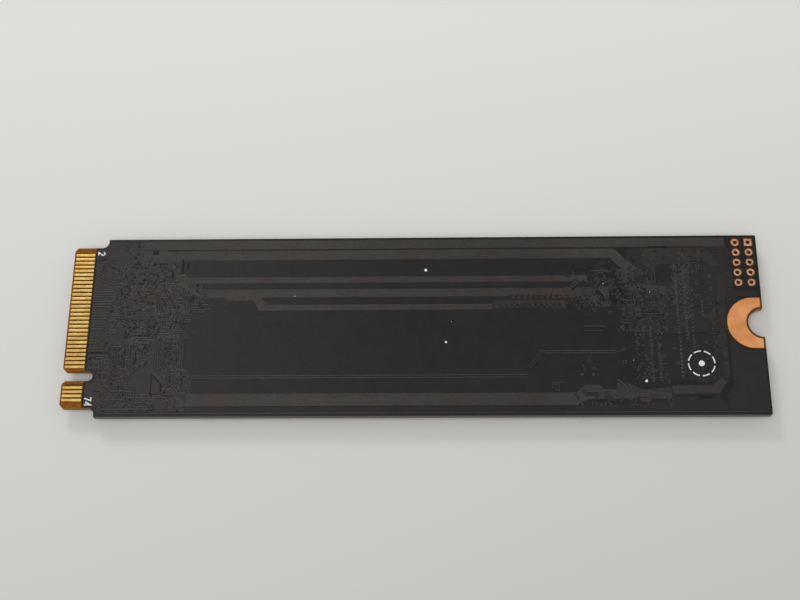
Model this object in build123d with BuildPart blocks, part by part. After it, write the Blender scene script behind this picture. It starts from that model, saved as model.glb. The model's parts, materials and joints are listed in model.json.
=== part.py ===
from build123d import *
import math
import os

# Gumstick solid state drive: a bare circuit card with an edge connector, flash chips and a screw notch
# It lies on its chips with the plain side up. Millimetres, +Z up.
# +X runs from the contact edge to the screw end and +Y runs across the card towards contact 2.
# The origin is below the middle of the card, on the surface that the flash chips rest on.

# Card
board_length = 80.0
board_width = 22.0
laminate_thickness = 0.72
mask_thickness = 0.03
copper_thickness = 0.04
relief_height = 0.03  # how far the mask rises where copper runs below it
end_corner_radius = 0.2

# Edge connector tongue
shoulder_depth = 1.075
tongue_depth = 4.0
shoulder_fillet = 0.8
tongue_chamfer = 0.4
bevel_length = 0.16
bevel_drop = 0.12
key_width = 1.2
key_depth = 3.5
key_offset = 6.125  # from the card's long axis
key_keepout = 1.0  # no contact is centred nearer to the key's middle than this
contact_pitch = 0.5
contact_width = 0.35
contact_length = 2.3
contact_chamfer = 0.1
contact_setback = 0.18
contact_side_margin = 0.4  # at least this much laminate beside the outer contacts
mask_start = 2.54  # from the contact edge to the edge of the solder mask

# Screw end
notch_radius = 1.75
ground_radius = 3.1
ground_depth = 4.15
ground_margin = 0.2
mask_clearance = 0.06

# Plated holes for a programming header
header_columns = 2
header_row_pitch = 1.27
header_column_pitch = 1.5
header_end_inset = 0.92
header_side_inset = 0.9
header_pad_diameter = 0.92
header_hole_diameter = 0.45
plating_thickness = 0.03
land_sides = 12  # the lands are round to the eye, with few faces
barrel_sides = 8

# Chip packages, with their width along the card
flash_width = 14.0
flash_length = 18.0
flash_height = 1.3
flash_ball_pitch = 1.0
flash_ball_columns = 11
flash_ball_rows = 16
controller_side = 12.0
controller_height = 1.14
controller_ball_pitch = 0.8
controller_ball_count = 14
memory_width = 8.0
memory_length = 14.0
memory_height = 1.1
memory_ball_pitch = 0.8
memory_ball_columns = 9
memory_ball_rows = 16
ball_height = 0.26
ball_share = 0.5  # a ball's width as a share of its pitch
dimple_diameter = 0.9
dimple_depth = 0.05
dimple_inset = 1.1

# Places of the packages along the card
power_zone_length = 17.4
screw_zone_length = 6.0
flash_gap = 2.8
controller_gap = 3.0
memory_gap = 2.2
package_edge_gap = 2.6  # from the card's upper side to the controller and to the supply chip

# Power supply
power_chip_side = 5.0
power_chip_height = 0.85
power_pin_pitch = 0.5
power_pin_count = 8  # on each side
power_pin_width = 0.25
power_pin_length = 0.4
power_pin_height = 0.2
power_pad_side = 3.4
inductor_length = 2.5
inductor_width = 2.0
inductor_height = 1.2
inductor_corner = 0.25
inductor_terminal_width = 1.5
inductor_terminal_height = 0.8
inductor_pitch = 2.9
lower_inductor_offset = 2.2
bulk_length = 3.5
bulk_width = 2.8
bulk_height = 1.15
bulk_corner = 0.15
bulk_terminal_width = 2.2
bulk_terminal_height = 0.6
terminal_thickness = 0.12

# Small packages with legs
leg_thickness = 0.13
leg_foot = 0.4
leg_width = 0.28
leg_exit_share = 0.45  # of the body's height
body_clearance = 0.1  # under a body that stands on legs
body_draft = 6  # degrees
switch_length = 2.9
switch_width = 1.6
switch_height = 0.9
switch_leg_pitch = 0.95
switch_leg_count = 3
switch_leg_reach = 0.6
boot_length = 3.0
boot_width = 4.4
boot_height = 1.0
boot_leg_pitch = 0.65
boot_leg_count = 4
boot_leg_reach = 0.95
sensor_length = 1.6
sensor_width = 1.2
sensor_height = 0.55
sensor_leg_pitch = 0.5
sensor_leg_count = 3
sensor_leg_reach = 0.22
sensor_offset = 7.6

# Crystal
crystal_length = 3.2
crystal_width = 2.5
crystal_base_height = 0.4
crystal_lid_height = 0.35
crystal_lid_margin = 0.2
crystal_corner = 0.3

# Chip capacitors, resistors, beads and the fuse: length, width, height and length of a metal end
small_capacitor = (1.0, 0.5, 0.5, 0.25)
medium_capacitor = (1.6, 0.8, 0.8, 0.35)
large_capacitor = (2.0, 1.25, 1.15, 0.45)
resistor = (1.0, 0.5, 0.35, 0.25)
bead = (1.6, 0.8, 0.6, 0.35)
fuse = (3.2, 1.6, 0.6, 0.5)
end_rim = 0.02  # how far a metal end stands proud of its body
network_length = 2.0
network_width = 1.0
network_height = 0.45
network_pitch = 0.5
network_terminal_count = 4
network_terminal_width = 0.3
network_terminal_length = 0.2

# Spacing between parts on the component side
part_gap = 0.4
edge_gap = 0.6
tight_pitch = 0.9
chip_pitch = 1.2
row_pitch = 2.0
wide_pitch = 3.0

# Copper runs that raise the solder mask on the plain side: starts from the contact edge, ends from the
# screw end, and widths and gaps in turn from the card's upper side
run_jog = 1.3  # how far a run shifts across where it turns at 45 degrees
supply_run_start = 8.2
supply_run_end_inset = 3.7
supply_run_inset = 0.3
supply_run_width = 1.1
supply_run_gap = 0.2
second_run_end_inset = 16.6
second_run_width = 1.15
quiet_strip_width = 2.2
third_run_start = 13.6
third_run_end_inset = 19.8
third_run_width = 0.75
third_run_gap = 0.7
fourth_run_start = 15.0
fourth_run_end_inset = 22.4
fourth_run_width = 1.1
fourth_run_gap = 0.9
fifth_run_start = 22.6
fifth_run_end_inset = 30.8
fifth_run_width = 0.8
lower_run_start = 14.6
lower_run_end_inset = 21.6
lower_run_inset = 1.15
lower_run_width = 1.5
return_run_end_inset = 11.0
return_run_inset = 1.9
return_run_width = 1.1
pair_line_width = 0.13
pair_gap = 0.15
pair_start = 14.6
pair_bend_inset = 27.0
pair_end_inset = 17.0
pair_first_offset = 6.12
pair_second_offset = 3.25
guard_width = 0.12
guard_inset = 0.3

# Cuts run this far past the faces that they leave by
overrun = 1.0

upright = 90  # degrees, for a part whose length runs across the card

# Levels, from the surface that the drive lies on
component_mask_z = flash_height
component_face_z = component_mask_z + mask_thickness
plain_face_z = component_face_z + laminate_thickness
plain_mask_z = plain_face_z + mask_thickness

# Places along the card
contact_edge_x = -board_length / 2
screw_end_x = board_length / 2
shoulder_x = contact_edge_x + tongue_depth
first_flash_x = contact_edge_x + power_zone_length + flash_width / 2
logic_zone_length = controller_gap + controller_side + memory_gap + memory_width
flash_zone_length = board_length - power_zone_length - logic_zone_length - screw_zone_length
flash_count = int((flash_zone_length + flash_gap) / (flash_width + flash_gap))
flash_places = [(first_flash_x + n * (flash_width + flash_gap), 0) for n in range(flash_count)]
controller_x = flash_places[-1][0] + flash_width / 2 + controller_gap + controller_side / 2
controller_y = board_width / 2 - package_edge_gap - controller_side / 2
memory_x = controller_x + controller_side / 2 + memory_gap + memory_width / 2
header_room = board_width / 2 - header_side_inset - ground_radius - header_pad_diameter
header_rows = int(header_room / header_row_pitch) + 1
header_x = screw_end_x - header_end_inset - header_column_pitch * (header_columns - 1) / 2
header_y = board_width / 2 - header_side_inset - header_row_pitch * (header_rows - 1) / 2

os.makedirs("parts", exist_ok=True)


def save(piece, name):
    piece.part.label = name
    export_step(piece.part, f"parts/{name}.step")


# Contact positions, odd ones below and even ones above, as many as the tongue has room for
tongue_width = board_width - 2 * shoulder_depth
contact_room = tongue_width / 2 - contact_side_margin - contact_width / 2
position_count = 2 * int(2 * contact_room / contact_pitch) + 1


# Contact n lies this far from the card's long axis
def contact_y(position):
    return ((position_count + 1) / 2 - position) * contact_pitch / 2


# Outline of the card: tongue with its key, shoulders, long sides and the half-round screw notch
def board_outline():
    with BuildSketch() as outline:
        Rectangle(board_length, board_width)
        end_corners = outline.vertices().group_by(Axis.X)[-1]
        fillet(end_corners, end_corner_radius)
        with Locations((contact_edge_x, board_width / 2), (contact_edge_x, -board_width / 2)):
            Rectangle(2 * tongue_depth, 2 * shoulder_depth, mode=Mode.SUBTRACT)
        roots = outline.vertices().filter_by_position(Axis.X, shoulder_x, shoulder_x).group_by(Axis.Y)
        inner_roots = [corner for group in roots[1:-1] for corner in group]
        fillet(inner_roots, shoulder_fillet)
        with Locations((contact_edge_x, -key_offset)):
            SlotOverall(2 * key_depth, key_width, mode=Mode.SUBTRACT)
        tongue_corners = outline.vertices().group_by(Axis.X)[0]
        chamfer(tongue_corners, tongue_chamfer)
        with Locations((screw_end_x, 0)):
            Circle(notch_radius, mode=Mode.SUBTRACT)
    return outline.sketch


# Places of the header's holes, with the square first pad at the card's corner
def header_places():
    places = GridLocations(header_column_pitch, header_row_pitch, header_columns, header_rows)
    return [Location((header_x, header_y)) * place for place in places]


first_header_place = header_places()[-1]
round_header_places = header_places()[:-1]

# Glass and epoxy laminate, bevelled at the contact edge
with BuildPart() as board_laminate:
    with BuildSketch(Plane.XY.offset(component_face_z)):
        add(board_outline())
        with Locations(*header_places()):
            RegularPolygon(header_hole_diameter / 2 + plating_thickness, barrel_sides, mode=Mode.SUBTRACT)
    extrude(amount=laminate_thickness)
    with BuildSketch(Plane.XZ.offset(-board_width / 2)):
        for face_z, inward in ((plain_face_z, -bevel_drop), (component_face_z, bevel_drop)):
            with BuildLine():
                Polyline(
                    (contact_edge_x, face_z),
                    (contact_edge_x + bevel_length, face_z),
                    (contact_edge_x, face_z + inward),
                    close=True,
                )
            make_face()
    extrude(amount=board_width, mode=Mode.SUBTRACT)
save(board_laminate, "board_laminate")


# Contact fingers, with the corners cut at the ends that meet the connector
def contact_fingers(positions, face_z, thickness):
    finger_x = contact_edge_x + contact_setback + contact_length / 2
    with BuildPart() as fingers:
        with BuildSketch(Plane.XY.offset(face_z)) as finger_sketch:
            with Locations(*[(finger_x, contact_y(position)) for position in positions]):
                Rectangle(contact_length, contact_width)
            chamfer(finger_sketch.vertices().group_by(Axis.X)[0], contact_chamfer)
        extrude(amount=thickness)
    return fingers


positions = [n for n in range(1, position_count + 1) if abs(contact_y(n) + key_offset) > key_keepout]
even_positions = [n for n in positions if n % 2 == 0]
odd_positions = [n for n in positions if n % 2 == 1]
save(contact_fingers(even_positions, plain_face_z, copper_thickness), "edge_contacts_even")
save(contact_fingers(odd_positions, component_face_z, -copper_thickness), "edge_contacts_odd")


# D-shaped copper around the screw notch, grown by a clearance for the opening in the mask
def ground_shape(growth, margin):
    with BuildSketch() as shape:
        arc_x = screw_end_x - ground_depth + ground_radius
        with Locations((arc_x, 0)):
            Circle(ground_radius + growth)
        straight = screw_end_x - margin - arc_x
        with Locations((arc_x + straight / 2, 0)):
            Rectangle(straight, 2 * (ground_radius + growth))
        with Locations((screw_end_x - margin, 0)):
            Rectangle(2 * ground_radius, 2 * board_width, align=(Align.MIN, Align.CENTER), mode=Mode.SUBTRACT)
        with Locations((screw_end_x, 0)):
            Circle(notch_radius + margin, mode=Mode.SUBTRACT)
    return shape.sketch


def ground_pad(face_z, thickness):
    with BuildPart() as pad:
        with BuildSketch(Plane.XY.offset(face_z)):
            add(ground_shape(0, ground_margin))
        extrude(amount=thickness)
    return pad


save(ground_pad(plain_face_z, copper_thickness), "ground_pad_plain_side")
save(ground_pad(component_face_z, -copper_thickness), "ground_pad_component_side")

# Plated holes of the programming header: a barrel through the card with a land on each face
with BuildPart() as header_barrels:
    with BuildSketch(Plane.XY.offset(component_face_z)):
        with Locations(*header_places()):
            RegularPolygon(header_hole_diameter / 2 + plating_thickness, barrel_sides)
    extrude(amount=laminate_thickness)
    for face_z, thickness in ((plain_face_z, copper_thickness), (component_face_z, -copper_thickness)):
        with BuildSketch(Plane.XY.offset(face_z)):
            with Locations(*round_header_places):
                RegularPolygon(header_pad_diameter / 2, land_sides)
            with Locations(first_header_place):
                Rectangle(header_pad_diameter, header_pad_diameter)
        extrude(amount=thickness)
    with BuildSketch(Plane.XY.offset(plain_face_z + overrun)):
        with Locations(*header_places()):
            Circle(header_hole_diameter / 2)
    extrude(amount=-laminate_thickness - 2 * overrun, mode=Mode.SUBTRACT)
save(header_barrels, "header_barrels")


# The card's outline without the contact strip, the ground pad and the header's lands
def mask_outline():
    with BuildSketch() as outline:
        add(board_outline())
        with Locations((contact_edge_x, 0)):
            Rectangle(2 * mask_start, board_width, mode=Mode.SUBTRACT)
        add(ground_shape(mask_clearance, 0), mode=Mode.SUBTRACT)
        with Locations((screw_end_x, 0)):
            Rectangle(2 * ground_margin, 2 * (ground_radius + mask_clearance), mode=Mode.SUBTRACT)
            Circle(notch_radius + ground_margin, mode=Mode.SUBTRACT)
        with Locations(*round_header_places):
            RegularPolygon(header_pad_diameter / 2 + 2 * mask_clearance, barrel_sides, mode=Mode.SUBTRACT)
        with Locations(first_header_place):
            first_opening = header_pad_diameter + 2 * mask_clearance
            Rectangle(first_opening, first_opening, mode=Mode.SUBTRACT)
    return outline.sketch


# A straight copper run between two places along the card and two across it
def run(start, end, low, high):
    with Locations(((start + end) / 2, (low + high) / 2)):
        Rectangle(end - start, high - low)


# Two signal lines side by side, with the upper one's upper side at an offset across the card
def pair(start, end, offset):
    for line_top in (offset, offset - pair_line_width - pair_gap):
        run(start, end, line_top - pair_line_width, line_top)


# Broad supply runs, one pair of signal lines and the guard line along the lower side
def copper_runs():
    supply_top = board_width / 2 - supply_run_inset
    second_top = supply_top - supply_run_width - supply_run_gap
    second_low = second_top - second_run_width
    second_end = screw_end_x - second_run_end_inset
    third_top = second_low - quiet_strip_width
    third_low = third_top - third_run_width
    third_start = contact_edge_x + third_run_start
    fourth_top = third_low - third_run_gap
    fourth_low = fourth_top - fourth_run_width
    fourth_start = contact_edge_x + fourth_run_start
    fifth_top = fourth_low - fourth_run_gap
    fifth_low = fifth_top - fifth_run_width
    fifth_start = contact_edge_x + fifth_run_start
    lower_low = lower_run_inset - board_width / 2
    lower_top = lower_low + lower_run_width
    lower_start = contact_edge_x + lower_run_start
    lower_end = screw_end_x - lower_run_end_inset
    return_low = return_run_inset - board_width / 2
    return_end = screw_end_x - return_run_end_inset
    guard_low = guard_inset - board_width / 2
    with BuildSketch() as runs:
        supply_start = contact_edge_x + supply_run_start
        run(supply_start, screw_end_x - supply_run_end_inset, supply_top - supply_run_width, supply_top)
        second_run = [
            (supply_start, second_low),
            (supply_start, second_top),
            (second_end, second_top),
            (second_end + 2 * run_jog, second_top - 2 * run_jog),
            (second_end + 2 * run_jog - second_run_width, second_top - 2 * run_jog - second_run_width / 2),
            (second_end - second_run_width / 2, second_low),
        ]
        middle_runs = [
            (third_start - run_jog, third_top),
            (screw_end_x - third_run_end_inset, third_top),
            (screw_end_x - third_run_end_inset, third_low),
            (third_start + third_run_width / 2, third_low),
            (fourth_start + third_run_width / 2, fourth_top),
            (screw_end_x - fourth_run_end_inset, fourth_top),
            (screw_end_x - fourth_run_end_inset, fourth_low),
            (fifth_start - run_jog / 2, fourth_low),
            (fifth_start, fifth_top),
            (screw_end_x - fifth_run_end_inset, fifth_top),
            (screw_end_x - fifth_run_end_inset, fifth_low),
            (fifth_start - third_run_width / 2, fifth_low),
            (fifth_start - run_jog, fourth_low),
            (fourth_start, fourth_low),
            (third_start - run_jog, third_low),
        ]
        lower_runs = [
            (lower_start - run_jog, lower_top + run_jog),
            (lower_start, lower_top),
            (lower_end, lower_top),
            (lower_end + run_jog / 2, lower_top + run_jog / 2),
            (lower_end + 2 * run_jog, lower_top + run_jog / 2),
            (lower_end + 2 * run_jog + run_jog / 2, return_low + return_run_width),
            (return_end, return_low + return_run_width),
            (return_end, return_low),
            (lower_end + run_jog, return_low),
            (lower_end, lower_low),
            (lower_start - run_jog, lower_low),
        ]
        for outline in (second_run, middle_runs, lower_runs):
            Polygon(*outline, align=None)
        pair_bend = screw_end_x - pair_bend_inset
        pair(contact_edge_x + pair_start, pair_bend, -pair_first_offset)
        pair(pair_bend + run_jog, screw_end_x - pair_end_inset, -pair_second_offset)
        run(shoulder_x + guard_inset, screw_end_x - ground_margin, guard_low, guard_low + guard_width)
    return runs.sketch


# Solder mask, raised over the copper runs on the plain side
with BuildPart() as solder_mask_plain_side:
    with BuildSketch(Plane.XY.offset(plain_face_z)):
        add(mask_outline())
    extrude(amount=mask_thickness)
    with BuildSketch(Plane.XY.offset(plain_mask_z)):
        add(copper_runs())
    extrude(amount=relief_height)
save(solder_mask_plain_side, "solder_mask_plain_side")

with BuildPart() as solder_mask_component_side:
    with BuildSketch(Plane.XY.offset(component_mask_z)):
        add(mask_outline())
    extrude(amount=mask_thickness)
save(solder_mask_component_side, "solder_mask_component_side")


# Moulded bodies of ball grid packages, with the first corner's dimple in each face
def package_bodies(places, width, length, height):
    with BuildPart() as bodies:
        with BuildSketch(Plane.XY.offset(component_mask_z - height)):
            with Locations(*places):
                Rectangle(width, length)
        extrude(amount=height - ball_height)
        with BuildSketch(Plane.XY.offset(component_mask_z - height)):
            with Locations(*places):
                with Locations((dimple_inset - width / 2, length / 2 - dimple_inset)):
                    RegularPolygon(dimple_diameter / 2, land_sides)
        extrude(amount=dimple_depth, mode=Mode.SUBTRACT)
    return bodies


# Outer ring of a package's solder balls, which is the part of the grid that can be seen
def ball_rings(places, pitch, columns, rows):
    half_width = pitch * (columns - 1) / 2
    half_length = pitch * (rows - 1) / 2
    column_places = [pitch * n - half_width for n in range(columns)]
    row_places = [pitch * n - half_length for n in range(1, rows - 1)]
    ends = [(x, side * half_length) for x in column_places for side in (-1, 1)]
    sides = [(side * half_width, y) for y in row_places for side in (-1, 1)]
    with BuildPart() as rings:
        with BuildSketch(Plane.XY.offset(component_mask_z)):
            with Locations(*places):
                with Locations(*ends, *sides):
                    Rectangle(pitch * ball_share, pitch * ball_share)
        extrude(amount=-ball_height)
    return rings


save(package_bodies(flash_places, flash_width, flash_length, flash_height), "flash_chips")
flash_balls = ball_rings(flash_places, flash_ball_pitch, flash_ball_columns, flash_ball_rows)
save(flash_balls, "flash_solder_balls")

controller_places = [(controller_x, controller_y)]
controller_chip = package_bodies(controller_places, controller_side, controller_side, controller_height)
save(controller_chip, "controller_chip")
controller_balls = ball_rings(
    controller_places, controller_ball_pitch, controller_ball_count, controller_ball_count
)
save(controller_balls, "controller_solder_balls")

memory_places = [(memory_x, 0)]
save(package_bodies(memory_places, memory_width, memory_length, memory_height), "buffer_memory_chip")
memory_balls = ball_rings(memory_places, memory_ball_pitch, memory_ball_columns, memory_ball_rows)
save(memory_balls, "buffer_memory_solder_balls")


# Places in a grid around a centre, each turned by an angle
def grid(centre, turn, pitches, counts):
    around = Location(centre)
    return [around * place * Location((0, 0, 0), (0, 0, turn)) for place in GridLocations(*pitches, *counts)]


# Chips with a metal end on each side: one node for all bodies and one for all ends
def save_chips(size, places, name):
    length, width, height, end = size
    with BuildPart() as bodies:
        with BuildSketch(Plane.XY.offset(component_mask_z - end_rim)):
            with Locations(*places):
                Rectangle(length - 2 * end, width - 2 * end_rim)
        extrude(amount=2 * end_rim - height)
    with BuildPart() as ends:
        with BuildSketch(Plane.XY.offset(component_mask_z)):
            with Locations(*places):
                with GridLocations(length - end, 0, 2, 1):
                    Rectangle(end, width)
        extrude(amount=-height)
    save(bodies, name)
    save(ends, f"{name.removesuffix('s')}_ends")


# Moulded blocks between two folded terminals, such as power inductors and polymer capacitors
def save_blocks(length, width, height, corner, terminal_width, terminal_height, places, name):
    with BuildPart() as bodies:
        with BuildSketch(Plane.XY.offset(component_mask_z)) as block_sketch:
            with Locations(*places):
                Rectangle(length - 2 * terminal_thickness, width)
            chamfer(block_sketch.vertices(), corner)
        extrude(amount=-height)
    with BuildPart() as terminals:
        with BuildSketch(Plane.XY.offset(component_mask_z)):
            with Locations(*places):
                with GridLocations(length - terminal_thickness, 0, 2, 1):
                    Rectangle(terminal_thickness, terminal_width)
        extrude(amount=-terminal_height)
    save(bodies, name)
    save(terminals, f"{name.removesuffix('s')}_terminals")


# Moulded body on legs, drawn in towards its face
def moulded_body(centre, length, width, height):
    with BuildPart() as body:
        with BuildSketch(Plane.XY.offset(component_mask_z - body_clearance)):
            with Locations(centre):
                Rectangle(length, width)
        extrude(amount=body_clearance - height, taper=body_draft)
    return body


# Bent legs on the two sides that face along X: down from the body, then out along the card
def bent_legs(centre, width, height, pitch, count, reach):
    body_half = width / 2 - (height * leg_exit_share - body_clearance) * math.tan(math.radians(body_draft))
    tip = width / 2 + reach
    heel = tip - leg_foot
    exit_z = component_mask_z - height * leg_exit_share
    foot_z = component_mask_z - leg_thickness
    with BuildPart() as legs:
        for y_place in GridLocations(0, pitch, 1, count):
            side_plane = Plane.XZ.offset(-centre[1] - y_place.position.Y)
            for side in (-1, 1):
                with BuildSketch(side_plane):
                    points = [
                        (tip, component_mask_z),
                        (tip, foot_z),
                        (heel, foot_z),
                        (heel, exit_z - leg_thickness),
                        (body_half, exit_z - leg_thickness),
                        (body_half, exit_z),
                        (heel - leg_thickness, exit_z),
                        (heel - leg_thickness, component_mask_z),
                    ]
                    Polygon(*[(centre[0] + side * x, z) for x, z in points], align=None)
                extrude(amount=leg_width / 2, both=True)
    return legs


# Edges and middles that the small parts are lined up with
supply_left_x = shoulder_x + edge_gap
flash_left_x = first_flash_x - flash_width / 2
small_length = small_capacitor[0]
small_width = small_capacitor[1]
inductor_x = flash_left_x - small_width - 2 * part_gap - inductor_width / 2
power_capacitor_x = inductor_x - inductor_width / 2 - part_gap - small_width / 2
power_chip_x = power_capacitor_x - small_width / 2 - part_gap - power_chip_side / 2
board_edge_y = board_width / 2 - edge_gap
power_chip_y = board_width / 2 - package_edge_gap - power_chip_side / 2

# Power management chip: moulded body, pins round its rim and a cooling pad in the middle
with BuildPart() as power_chip:
    with BuildSketch(Plane.XY.offset(component_mask_z)):
        with Locations((power_chip_x, power_chip_y)):
            Rectangle(power_chip_side - 2 * power_pin_length, power_chip_side - 2 * power_pin_length)
            Rectangle(power_pad_side, power_pad_side, mode=Mode.SUBTRACT)
    extrude(amount=-power_pin_height)
    with BuildSketch(Plane.XY.offset(component_mask_z - power_pin_height)):
        with Locations((power_chip_x, power_chip_y)):
            Rectangle(power_chip_side, power_chip_side)
    extrude(amount=power_pin_height - power_chip_height)
save(power_chip, "power_management_chip")

with BuildPart() as power_pins:
    rim = power_chip_side - power_pin_length
    with BuildSketch(Plane.XY.offset(component_mask_z)):
        with Locations((power_chip_x, power_chip_y)):
            with GridLocations(rim, power_pin_pitch, 2, power_pin_count):
                Rectangle(power_pin_length, power_pin_width)
            with GridLocations(power_pin_pitch, rim, power_pin_count, 2):
                Rectangle(power_pin_width, power_pin_length)
            Rectangle(power_pad_side, power_pad_side)
    extrude(amount=-power_pin_height)
save(power_pins, "power_management_chip_pins")

# Power inductors beside the chip, and one for the lower supply
upper_inductors = grid((inductor_x, power_chip_y), upright, (0, inductor_pitch), (1, 3))
lower_inductor = grid((inductor_x, -lower_inductor_offset), upright, (0, 0), (1, 1))
save_blocks(
    inductor_length,
    inductor_width,
    inductor_height,
    inductor_corner,
    inductor_terminal_width,
    inductor_terminal_height,
    upper_inductors + lower_inductor,
    "power_inductors",
)

# Polymer capacitor at the supply input
bulk_x = supply_left_x + bulk_length / 2
bulk_y = bulk_width / 2 - board_edge_y
save_blocks(
    bulk_length,
    bulk_width,
    bulk_height,
    bulk_corner,
    bulk_terminal_width,
    bulk_terminal_height,
    grid((bulk_x, bulk_y), 0, (0, 0), (1, 1)),
    "polymer_capacitor",
)

# Load switch on six bent legs, between the supply chip and the lower inductor
switch_x = inductor_x - inductor_width / 2 - part_gap - switch_leg_reach - switch_width / 2
switch_y = power_chip_y - power_chip_side / 2 - small_length - 2 * part_gap - switch_length / 2
switch_place = (switch_x, switch_y)
save(moulded_body(switch_place, switch_width, switch_length, switch_height), "load_switch")
switch_legs = bent_legs(
    switch_place, switch_width, switch_height, switch_leg_pitch, switch_leg_count, switch_leg_reach
)
save(switch_legs, "load_switch_legs")

# Crystal: ceramic base with a metal lid, at the card's lower side below the controller
controller_left_x = controller_x - controller_side / 2
controller_right_x = controller_x + controller_side / 2
crystal_place = (controller_left_x + crystal_length / 2, crystal_width / 2 - board_edge_y)
with BuildPart() as crystal_base:
    with BuildSketch(Plane.XY.offset(component_mask_z)):
        with Locations(crystal_place):
            Rectangle(crystal_length, crystal_width)
    extrude(amount=-crystal_base_height)
save(crystal_base, "crystal_base")

with BuildPart() as crystal_lid:
    with BuildSketch(Plane.XY.offset(component_mask_z - crystal_base_height)) as lid_sketch:
        with Locations(crystal_place):
            Rectangle(crystal_length - 2 * crystal_lid_margin, crystal_width - 2 * crystal_lid_margin)
        chamfer(lid_sketch.vertices(), crystal_corner)
    extrude(amount=-crystal_lid_height)
save(crystal_lid, "crystal_lid")

# Boot memory on eight bent legs, beside the crystal
boot_x = controller_right_x - boot_width / 2 - boot_leg_reach
boot_place = (boot_x, boot_length / 2 - board_edge_y)
save(moulded_body(boot_place, boot_width, boot_length, boot_height), "boot_memory_chip")
boot_legs = bent_legs(boot_place, boot_width, boot_height, boot_leg_pitch, boot_leg_count, boot_leg_reach)
save(boot_legs, "boot_memory_chip_legs")

# Temperature sensor on flat legs, between the second flash chip and the controller
controller_gap_x = controller_left_x - controller_gap / 2
sensor_place = (controller_gap_x, -sensor_offset)
save(moulded_body(sensor_place, sensor_width, sensor_length, sensor_height), "temperature_sensor")
with BuildPart() as sensor_legs:
    with BuildSketch(Plane.XY.offset(component_mask_z)):
        with Locations(sensor_place):
            with GridLocations(sensor_width + sensor_leg_reach, sensor_leg_pitch, 2, sensor_leg_count):
                Rectangle(sensor_leg_reach, sensor_leg_reach)
    extrude(amount=-leg_thickness)
save(sensor_legs, "temperature_sensor_legs")

# Resistor networks above the buffer memory: four resistors in one body
network_y = memory_length / 2 + part_gap + network_width / 2
network_places = grid((memory_x, network_y), 0, (network_length + part_gap, 0), (3, 1))
network_body_width = network_width - 2 * network_terminal_length
network_side_pitch = network_width - network_terminal_length
with BuildPart() as networks:
    with BuildSketch(Plane.XY.offset(component_mask_z - end_rim)):
        with Locations(*network_places):
            Rectangle(network_length, network_body_width)
    extrude(amount=2 * end_rim - network_height)
save(networks, "resistor_networks")

with BuildPart() as network_ends:
    with BuildSketch(Plane.XY.offset(component_mask_z)):
        with Locations(*network_places):
            with GridLocations(network_pitch, network_side_pitch, network_terminal_count, 2):
                Rectangle(network_terminal_width, network_terminal_length)
    extrude(amount=-network_height)
save(network_ends, "resistor_network_terminals")

# Input fuse above the polymer capacitor's corner of the card, by the first contacts
fuse_place = (supply_left_x + fuse[0] / 2, board_edge_y - fuse[1] / 2)
save_chips(fuse, grid(fuse_place, 0, (0, 0), (1, 1)), "input_fuse")

# Ferrite beads in the supply lines
bead_x = supply_left_x + bead[1] / 2
bead_pitch = bead[0] + part_gap
save_chips(bead, grid((bead_x, power_chip_y), upright, (0, bead_pitch), (1, 2)), "ferrite_beads")

# Large capacitors beside the polymer capacitor
large_pitch_x = large_capacitor[0] + part_gap
large_pitch_y = large_capacitor[1] + part_gap
large_x = supply_left_x + bulk_length + part_gap + large_capacitor[0] / 2 + large_pitch_x
large_y = large_capacitor[1] / 2 - board_edge_y + large_pitch_y / 2
large_places = grid((large_x, large_y), 0, (large_pitch_x, large_pitch_y), (3, 2))
save_chips(large_capacitor, large_places, "large_capacitors")

# Medium capacitors above the supply chip and below the buffer memory
medium_pitch = medium_capacitor[1] + part_gap
supply_row_y = power_chip_y + power_chip_side / 2 + part_gap + medium_capacitor[0] / 2
memory_row_y = -memory_length / 2 - part_gap - medium_capacitor[0] / 2
medium_places = grid((power_chip_x, supply_row_y), upright, (medium_pitch, 0), (3, 1))
medium_places += grid((memory_x, memory_row_y), upright, (medium_pitch, 0), (5, 1))
save_chips(medium_capacitor, medium_places, "medium_capacitors")

# Small capacitors: signal coupling by the contacts, and smoothing round each chip
coupling_x = supply_left_x + small_length / 2
flash_row_pitch = part_gap + small_width
flash_row_count = int((board_edge_y - flash_length / 2) / flash_row_pitch)
upper_row_y = controller_y + controller_side / 2 + part_gap + small_length / 2
lower_strip_top = controller_y - controller_side / 2
lower_strip_low = boot_length - board_edge_y
lower_row_count = int((lower_strip_top - lower_strip_low) / row_pitch)
memory_gap_x = controller_right_x + memory_gap / 2
crystal_capacitor_x = crystal_place[0] + crystal_length / 2 + part_gap + small_width / 2
small_places = grid((coupling_x, -chip_pitch), 0, (0, tight_pitch), (1, 8))
small_places += grid((power_capacitor_x, power_chip_y), upright, (0, row_pitch), (1, 3))
small_places += grid((flash_left_x - part_gap - small_width / 2, 0), upright, (0, wide_pitch), (1, 4))
for flash_place in flash_places[1:]:
    flash_gap_x = flash_place[0] - (flash_width + flash_gap) / 2
    small_places += grid((flash_gap_x, 0), upright, (chip_pitch, wide_pitch), (2, 5))
for flash_place in flash_places:
    for row in range(flash_row_count):
        flash_row_y = flash_length / 2 + (row + 1) * flash_row_pitch - small_width / 2
        small_places += grid(flash_place, 0, (wide_pitch, 2 * flash_row_y), (3, 2))
small_places += grid((controller_gap_x, controller_y), upright, (chip_pitch, row_pitch), (2, 4))
small_places += grid((controller_x, upper_row_y), upright, (chip_pitch, 0), (6, 1))
for row in range(lower_row_count):
    lower_row_y = lower_strip_top - (row + 1) * (lower_strip_top - lower_strip_low) / (lower_row_count + 1)
    small_places += grid((controller_x, lower_row_y), upright, (chip_pitch, 0), (6, 1))
small_places += grid((memory_gap_x, 0), upright, (0, row_pitch), (1, 5))
small_places += grid((crystal_capacitor_x, crystal_place[1]), upright, (0, chip_pitch), (1, 2))
save_chips(small_capacitor, small_places, "small_capacitors")

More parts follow.
